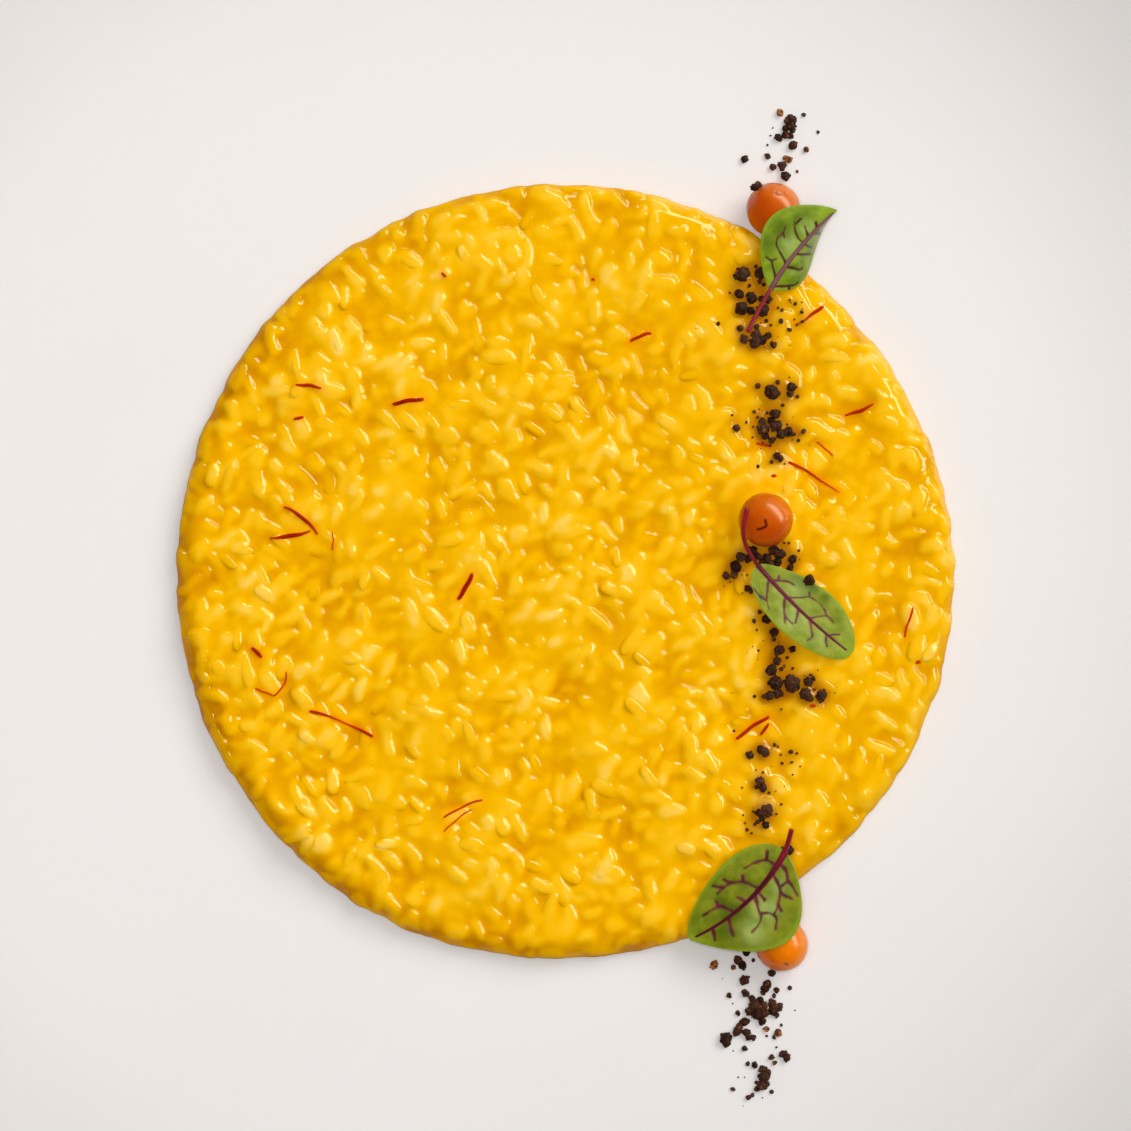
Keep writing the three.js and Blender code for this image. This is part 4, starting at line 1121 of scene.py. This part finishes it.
# a trail of baked crumbs over the plate and the rice
crumbs = {
    # the amount after the seed browns the sauce and paints shadow round each crumb
    "seed": 23, "soilAndShadow": 0.7, "granule": (0.24, 0.4), "plump": 1.12, "smallest": 0.95,
    "speckSpread": (2.0, 1.8), "specksPer": 0.5, "roughness": 0.3,
    "tones": [(0.0, "#241007"), (0.6, "#553020"), (1.0, "#b06c2c")],
    # x, y, size of each crumb, from the top of the trail to its lower end
    "trail": [
        (45.5, 91.6, 1.6), (46.2, 91.3, 1.3), (44.9, 91.0, 1.3), (45.6, 90.0, 2.0), (44.5, 89.5, 1.5),
        (45.9, 89.2, 1.3), (44.6, 88.2, 1.7), (45.6, 88.0, 1.3), (43.2, 87.7, 1.7), (46.0, 86.1, 1.8),
        (40.9, 84.0, 1.2), (36.2, 83.3, 1.5), (43.8, 82.0, 1.9), (41.9, 81.7, 1.5), (44.5, 79.9, 1.9),
        (48.2, 92.3, 0.8), (51.1, 88.8, 0.6), (46.9, 80.9, 0.6), (40.9, 86.2, 0.5),
        (35.3, 59.5, 3.0), (39.3, 59.8, 2.4), (39.0, 58.2, 1.0), (39.8, 57.5, 0.8), (36.9, 57.3, 0.8),
        (34.8, 55.7, 1.9), (37.3, 54.8, 2.3), (35.3, 52.7, 2.6), (37.2, 52.2, 1.7), (39.3, 54.6, 1.3),
        (40.6, 54.5, 1.7), (39.4, 52.2, 2.3), (40.2, 52.9, 1.3), (40.3, 50.3, 0.8), (41.2, 49.4, 0.6),
        (34.9, 48.7, 1.2), (35.8, 46.5, 1.8), (38.3, 49.0, 1.2), (38.2, 47.4, 2.0), (38.0, 45.8, 2.4),
        (39.5, 46.4, 1.9), (40.6, 47.3, 1.3), (41.7, 45.4, 1.4), (30.6, 49.6, 0.8), (33.0, 55.9, 0.5),
        (38.2, 61.2, 0.7), (45.0, 54.4, 0.6), (46.1, 53.7, 0.7), (42.7, 52.9, 0.5), (43.4, 52.4, 0.7),
        (47.4, 52.0, 0.7), (43.2, 50.2, 0.9), (44.9, 48.5, 0.9), (46.4, 49.5, 0.5), (47.5, 50.1, 0.6),
        (38.6, 37.3, 1.1), (42.6, 38.0, 0.8), (41.3, 36.0, 2.9), (42.7, 35.8, 0.9), (45.3, 36.9, 1.9),
        (45.0, 35.6, 1.5), (46.5, 35.1, 0.8), (37.9, 32.1, 0.7), (43.6, 33.4, 0.6), (40.5, 31.9, 0.6),
        (38.6, 31.0, 0.6), (42.1, 31.6, 2.1), (41.2, 30.4, 1.4), (39.5, 30.1, 1.5), (39.6, 28.6, 2.4),
        (40.1, 27.2, 1.4), (42.2, 29.2, 2.3), (43.2, 27.6, 2.1), (44.6, 28.0, 2.0), (45.5, 27.6, 1.1),
        (41.4, 26.4, 1.4), (34.3, 28.8, 1.5), (36.4, 30.0, 0.5), (33.5, 31.4, 0.5), (37.7, 29.1, 0.5),
        (47.7, 28.1, 1.0), (46.7, 26.3, 0.8), (42.3, 23.2, 1.5), (43.1, 22.7, 1.2), (41.3, 22.0, 0.8),
        (38.6, 21.1, 0.7), (39.6, 25.8, 0.5), (41.1, 25.3, 0.5),
        (37.4, 4.2, 2.0), (35.1, 3.0, 1.9), (36.6, 2.6, 1.5), (38.5, 3.2, 1.7), (34.1, 1.1, 2.3),
        (33.9, -0.5, 1.6), (32.3, -0.8, 1.5), (41.9, 4.4, 2.2), (43.0, 3.6, 2.2), (40.4, 2.8, 1.9),
        (42.5, 2.0, 1.8), (41.1, 1.4, 1.8), (39.4, 2.0, 1.3), (45.5, 2.5, 1.8), (45.1, 0.9, 1.5),
        (43.9, 5.8, 0.5), (44.8, 5.8, 0.5), (46.8, 4.3, 0.5), (36.5, -3.2, 1.3), (37.2, -3.8, 1.0),
        (38.9, -8.0, 0.8), (37.8, -9.8, 0.9), (38.4, -11.6, 0.5), (40.2, -9.4, 1.8), (41.7, -12.0, 1.8),
        (41.8, -13.4, 1.1), (42.8, -15.7, 2.2), (45.5, -15.4, 1.3), (44.5, -17.1, 0.7), (38.7, -15.7, 0.5),
        (42.4, -17.8, 1.6), (41.3, -19.6, 2.3), (43.3, -19.4, 0.8), (45.6, -19.3, 0.5), (42.1, -22.1, 2.9),
        (45.4, -22.3, 3.3), (48.6, -21.9, 1.9), (49.6, -21.3, 1.0), (41.0, -24.7, 1.9), (42.6, -24.4, 1.9),
        (39.9, -24.9, 1.1), (38.0, -24.9, 0.7), (48.0, -24.4, 2.4), (48.9, -25.2, 1.5), (51.3, -24.6, 2.3),
        (51.2, -25.6, 1.3), (49.9, -23.5, 0.6), (43.3, -27.5, 0.5),
        (36.9, -36.6, 1.5), (39.2, -35.6, 1.8), (40.0, -36.0, 2.0), (42.0, -34.6, 0.7), (45.2, -36.0, 0.9),
        (46.4, -36.3, 0.5), (43.2, -36.6, 0.5), (45.4, -38.1, 0.6), (43.5, -38.3, 0.6), (39.6, -40.1, 0.5),
        (39.0, -41.8, 1.8), (39.6, -43.2, 1.6), (38.4, -43.0, 1.0), (40.9, -44.2, 0.6), (43.3, -46.5, 0.5),
        (40.2, -47.7, 2.7), (38.8, -48.2, 1.6), (39.4, -49.3, 1.3), (38.6, -50.0, 0.8), (42.3, -48.4, 0.5),
        (40.1, -50.6, 1.5), (38.0, -50.5, 0.6), (36.1, -50.3, 0.5), (36.5, -51.6, 0.6), (37.4, -52.3, 0.5),
        (44.9, -55.8, 1.8), (43.6, -55.4, 0.9),
        (36.6, -76.8, 1.7), (39.8, -77.7, 1.3), (38.0, -78.4, 0.8), (34.9, -78.4, 1.9), (35.8, -79.4, 1.7),
        (41.7, -81.0, 1.6), (36.2, -82.4, 2.0), (40.9, -83.2, 1.8), (40.4, -84.1, 1.8), (42.7, -84.4, 1.3),
        (40.0, -85.0, 1.0), (42.2, -85.6, 0.9), (36.4, -85.0, 1.7), (33.1, -85.5, 1.1), (45.4, -84.0, 0.9),
        (37.8, -86.1, 1.5), (39.4, -86.4, 1.5), (38.2, -87.4, 2.3), (39.9, -87.6, 2.1), (37.2, -88.6, 1.8),
        (38.7, -89.2, 2.3), (40.2, -89.0, 2.1), (39.8, -90.6, 1.7), (41.9, -87.2, 2.1), (43.2, -87.8, 1.6),
        (41.9, -88.6, 1.9), (42.8, -89.5, 1.1), (34.9, -89.1, 1.1), (36.2, -90.8, 1.9), (35.2, -91.8, 1.6),
        (34.6, -92.8, 1.8), (36.6, -93.0, 1.8), (37.1, -94.0, 1.3), (38.0, -94.0, 1.2), (32.5, -94.1, 2.5),
        (32.6, -95.2, 1.6), (43.7, -91.5, 0.6), (42.2, -94.0, 0.7), (36.2, -96.2, 1.2), (42.7, -96.0, 0.4),
        (44.0, -97.3, 1.6), (44.8, -98.1, 1.6), (41.7, -98.0, 1.2), (42.3, -99.1, 1.0), (36.9, -99.3, 0.9),
        (38.3, -99.5, 1.3), (39.9, -100.4, 1.7), (40.9, -100.9, 1.5), (40.1, -102.0, 2.3),
        (39.8, -103.5, 2.2), (40.7, -103.4, 1.3), (38.8, -104.3, 1.2), (38.6, -103.0, 0.8),
        (33.9, -104.4, 0.9), (41.7, -104.9, 0.8), (37.1, -106.0, 1.1), (37.8, -105.6, 0.8),
    ],
    # lighter, less baked ones
    "amber": [
        (43.4, 92.7, 1.5), (48.7, 85.3, 1.2), (45.2, 83.2, 1.4), (44.5, 83.7, 1.0), (30.1, -79.3, 1.8),
        (34.0, -79.8, 1.1), (40.7, -92.3, 1.2), (43.0, -93.0, 1.6),
    ],
    # on a leaf and on a berry: x, y, height, size
    "raised": [(48.6, -1.6, 19.8, 2.3), (38.0, 76.9, 16.4, 1.7), (38.7, 77.4, 16.0, 1.4)],
}


def soilAndShadowField():
    # crumbs wetted by the sauce brown it round themselves, and the same darkening is painted shadow round
    # and under them
    soilAndShadow = np.zeros(planX.shape)
    for x, y, size in crumbs["trail"]:
        near = (abs(planX - x) < 5) & (abs(planY - y) < 5)
        away = np.hypot(planX[near] - x, planY[near] - y) / (0.5 * size + 1.0)
        soilAndShadow[near] += crumbs["soilAndShadow"] * min(size / 2, 1) * np.exp(-away ** 2)
    return np.clip(soilAndShadow, 0, 0.75)


def crumbMaterial():
    # dark malt crumb, baked dry and broken: matt, near black-brown with a few amber bits
    material, tree, shader, place = newMaterial("bakedCrumb")
    tone = addNode(tree, "ShaderNodeAttribute", attribute_name="tone").outputs["Fac"]
    ramp = addNode(tree, "ShaderNodeValToRGB", {"Fac": tone})
    setStops(ramp.color_ramp, crumbs["tones"])
    bump = fineRelief(tree, place, 0.25, 3.0, 0.6, 0.06)
    plug(tree, shader, {
        "Base Color": ramp.outputs[0], "Normal": bump.outputs[0], "Roughness": 0.6, "IOR": 1.45,
        "Specular IOR Level": 0.25})
    return material


def crumbTree(material):
    # a small lump set on every point with its own size and a random turn, its skin pushed in and out
    inputs = [("Roughness", "NodeSocketFloat"), ("Seed", "NodeSocketInt")]
    tree, given, output = newTree("crumbGranule", inputs)
    lump = addNode(tree, "GeometryNodeMeshIcoSphere", {"Radius": 1.0, "Subdivisions": 2})
    turn = addNode(tree, "FunctionNodeRandomValue", {
        "Max": (6.28, 6.28, 6.28), "Seed": given.outputs["Seed"]}, data_type="FLOAT_VECTOR")
    size = addNode(tree, "GeometryNodeInputNamedAttribute", {"Name": "size"}, data_type="FLOAT_VECTOR")
    placed = addNode(tree, "GeometryNodeInstanceOnPoints", {
        "Points": given.outputs[0], "Instance": lump.outputs[0], "Rotation": turn.outputs[0],
        "Scale": size.outputs[0]})
    real = addNode(tree, "GeometryNodeRealizeInstances", {0: placed.outputs[0]})
    wobble = addNode(tree, "ShaderNodeTexNoise", {"Scale": 1 / (0.5 * mm), "Detail": 1.0})
    centred = addNode(tree, "ShaderNodeMath", {0: wobble.outputs["Fac"], 1: 0.5}, operation="SUBTRACT")
    amount = addNode(tree, "ShaderNodeMath", {
        0: centred.outputs[0], 1: given.outputs["Roughness"]}, operation="MULTIPLY")
    normal = addNode(tree, "GeometryNodeInputNormal")
    push = addNode(tree, "ShaderNodeVectorMath", {
        0: normal.outputs[0], "Scale": amount.outputs[0]}, operation="SCALE")
    uneven = addNode(tree, "GeometryNodeSetPosition", {
        "Geometry": real.outputs[0], "Offset": push.outputs[0]})
    painted = addNode(tree, "GeometryNodeSetMaterial", {
        "Geometry": uneven.outputs[0], "Material": material})
    plug(tree, output, {0: painted.outputs[0]})
    return tree


def makeCrumbs(surface):
    draw = np.random.default_rng(crumbs["seed"])
    centres, sizes, tones = [], [], []

    def heightAt(x, y):
        onPlate = float(plateTop(math.hypot(x, y)))
        onRice = float(sampleGrid(surface, x, y))
        return onPlate if insetOf(x, y) < 0.2 else max(onPlate, onRice)

    def clod(x, y, ground, size, colour):
        # baked dough broken small: a solid middle packed round with granules, the middle painted darker as
        # shade in the gaps
        radius = size / 2 * crumbs["plump"]
        if size < crumbs["smallest"]:
            centres.append((x, y, ground + radius * 0.6))
            sizes.append([radius * draw.uniform(0.8, 1.15) for _ in range(3)])
            tones.append(colour)
            return
        stretch, heading = draw.uniform(0.78, 1.0), draw.uniform(0, math.pi)
        middle = ground + radius * 0.65
        centres.append((x, y, middle))
        sizes.append([radius * 0.92, radius * 0.92 * stretch, radius * 0.85])
        # painted shade: the middle is darker to stand for the shade between the granules
        tones.append(colour * 0.6)
        for _ in range(int(4 + 8 * radius ** 2)):
            direction = draw.normal(size=3)
            direction /= np.linalg.norm(direction)
            granule = draw.uniform(*crumbs["granule"]) * (0.7 + 0.35 * radius)
            reach = radius - granule * draw.uniform(0.7, 1.0)
            a, b = direction[0] * reach, direction[1] * reach * stretch
            centres.append((x + a * math.cos(heading) - b * math.sin(heading),
                            y + a * math.sin(heading) + b * math.cos(heading),
                            max(middle + abs(direction[2]) * reach * 0.85, ground + granule * 0.5)))
            sizes.append([granule * draw.uniform(0.85, 1.3) for _ in range(3)])
            tones.append(np.clip(colour + draw.normal() * 0.14, 0, 1))

    for x, y, size in crumbs["trail"]:
        clod(x, y, heightAt(x, y), size, draw.uniform(0.1, 0.5) + (0.15 if size < 1.3 else 0))
        for _ in range(draw.poisson(crumbs["specksPer"])):
            sx, sy = [at + draw.normal() * spread for at, spread in zip((x, y), crumbs["speckSpread"])]
            clod(sx, sy, heightAt(sx, sy), 0.2 + 0.3 * draw.random() ** 2, draw.uniform(0, 0.7))
    for x, y, size in crumbs["amber"]:
        clod(x, y, heightAt(x, y), size, draw.uniform(0.75, 0.95))
    for x, y, ground, size in crumbs["raised"]:
        clod(x, y, ground, size, draw.uniform(0.1, 0.4))
    values = {"size": np.array(sizes) * mm, "tone": tones}
    return growPiece("bakedCrumbs", centres, values, crumbTree(crumbMaterial()),
                     {"Roughness": crumbs["roughness"] * mm, "Seed": crumbs["seed"]})


# the table, the lamps and the camera overhead
studio = {
    "camera": (0.1, 1.3, 816.4), "lens": 127.3,
    # azimuth and elevation; metres at this distance. The window shades softly from the upper right,
    # and its bright pane alone makes the glints
    "distance": 3.2,
    "windows": {
        "windowLight": {"toward": (43, 46), "size": (2.0, 1.8), "power": 54, "glossy": False,
                        "tint": (1.0, 0.97, 0.93)},
        "windowGlint": {"toward": (41, 28), "size": (5.2, 0.8), "power": 145, "glossy": True,
                        "tint": (1.0, 1.0, 0.72)},
        "ceilingLight": {"toward": (0, 90), "size": (2.6, 2.6), "power": 25, "glossy": False,
                         "tint": (1.0, 0.99, 0.98)},
    },
    "bounce": {"at": (-14, 12, 800), "cone": 29.5, "blend": 0.75, "radius": 50, "power": 9.2},
    "skyTop": 0.05, "skySide": 0.37, "skyTint": (1.0, 0.985, 0.97, 1.0),
    "floor": ("#e6e4e2", "#e2e0de"), "floorHalf": 1500,
}


def addLamp(name, kind, place, **settings):
    light = bpy.data.lights.new(name, kind)
    for key, value in settings.items():
        setattr(light, key, value)
    lamp = bpy.data.objects.new(name, light)
    lamp.location = place
    lamp.visible_camera = False
    bpy.context.scene.collection.objects.link(lamp)
    return lamp


def setStudio():
    scene = bpy.context.scene
    scene.view_settings.view_transform = "Standard"
    world = bpy.data.worlds.new("studioSky")
    world.use_nodes = True
    tree = world.node_tree
    sphere = addNode(tree, "ShaderNodeTexCoord").outputs["Generated"]
    upward = addNode(tree, "ShaderNodeSeparateXYZ", {0: sphere}).outputs["Z"]
    glow = addNode(tree, "ShaderNodeMapRange", {
        "Value": upward, "From Min": 0.25, "From Max": 0.9, "To Min": studio["skySide"],
        "To Max": studio["skyTop"]})
    plug(tree, tree.nodes["Background"], {"Color": studio["skyTint"], "Strength": glow.outputs[0]})
    scene.world = world
    world.cycles_visibility.glossy = False

    camera = bpy.data.cameras.new("overheadCamera")
    camera.lens, camera.sensor_width = studio["lens"], 36
    camera.clip_start, camera.clip_end = 0.01, 20
    holder = bpy.data.objects.new("overheadCamera", camera)
    holder.location = [value * mm for value in studio["camera"]]
    scene.collection.objects.link(holder)
    scene.camera = holder

    for name, window in studio["windows"].items():
        azimuth, elevation = [math.radians(angle) for angle in window["toward"]]
        toward = Vector((math.cos(elevation) * math.cos(azimuth), math.cos(elevation) * math.sin(azimuth),
                         math.sin(elevation)))
        lamp = addLamp(name, "AREA", toward * studio["distance"], shape="RECTANGLE", size=window["size"][0],
                       size_y=window["size"][1], energy=window["power"], color=window["tint"])
        lamp.rotation_euler = toward.to_track_quat("Z", "Y").to_euler()
        lamp.visible_glossy, lamp.visible_diffuse = window["glossy"], not window["glossy"]

    bounce = studio["bounce"]
    lamp = addLamp("bounceLight", "SPOT", [value * mm for value in bounce["at"]],
                   spot_size=math.radians(bounce["cone"]), spot_blend=bounce["blend"],
                   shadow_soft_size=bounce["radius"] * mm, energy=bounce["power"])
    lamp.visible_glossy = False

    half = studio["floorHalf"]
    material, tree, shader, place = newMaterial("paleTable")
    tone = mottled(tree, place, 1000 / 3, studio["floor"], 2.0)
    plug(tree, shader, {"Base Color": tone, "Roughness": 0.7})
    floor = meshPiece("paleFloor", [(-half, -half, 0), (half, -half, 0), (half, half, 0), (-half, half, 0)],
                      [(0, 1, 2, 3)], material)


# everything is made from the table up, and the film knows the leaves and the berry over it
setStudio()
finishPiece(makePlate(), "porcelain", "plate")
leafUnder = leafUnderside()
for at in ("Top", "Middle", "Bottom"):
    finishPiece(makeLeaf("leaf" + at, "sorrelLeaf" + at), "sorrel_leaf", "leaf_" + at.lower())
waxySkin = berrySkin()
for at in ("Top", "Middle", "Bottom"):
    finishPiece(makeBerry("berry" + at, waxySkin), "berry_skin", "berry_" + at.lower())

ground, heap, owner, placed = heapGrains(leafUnder)
film, skinLevel = layFilm(ground, heap, leafUnder)
print(f"heap: {len(placed)} grains thrown")
lumps = softened(np.clip(heap - ground, -0.8, 0.9), 0.5)
fields = bodyFields(film, skinLevel, ground, heap, owner, placed)
wetSauce = sauceMaterial()
for piece in (makeFilm(film, lumps, wetSauce), makeGrains(placed, film, wetSauce)):
    skinValues(piece, fields)
    finishPiece(piece, "saffron_rice", "risotto")
# what lies on top rests on the film or on a grain that stands out of it
surface = film + sauce["seat"]
for grain in placed:
    if grain["proud"]:
        x, y, z = grain["centre"]
        stampGrain(surface, owner, -1, (x, y, z + sauce["seat"]), grain["turned"], grain["size"])
finishPiece(makeSaffron(surface), "saffron_rice", "risotto")
finishPiece(makeCrumbs(surface), "saffron_rice", "risotto", "plate")
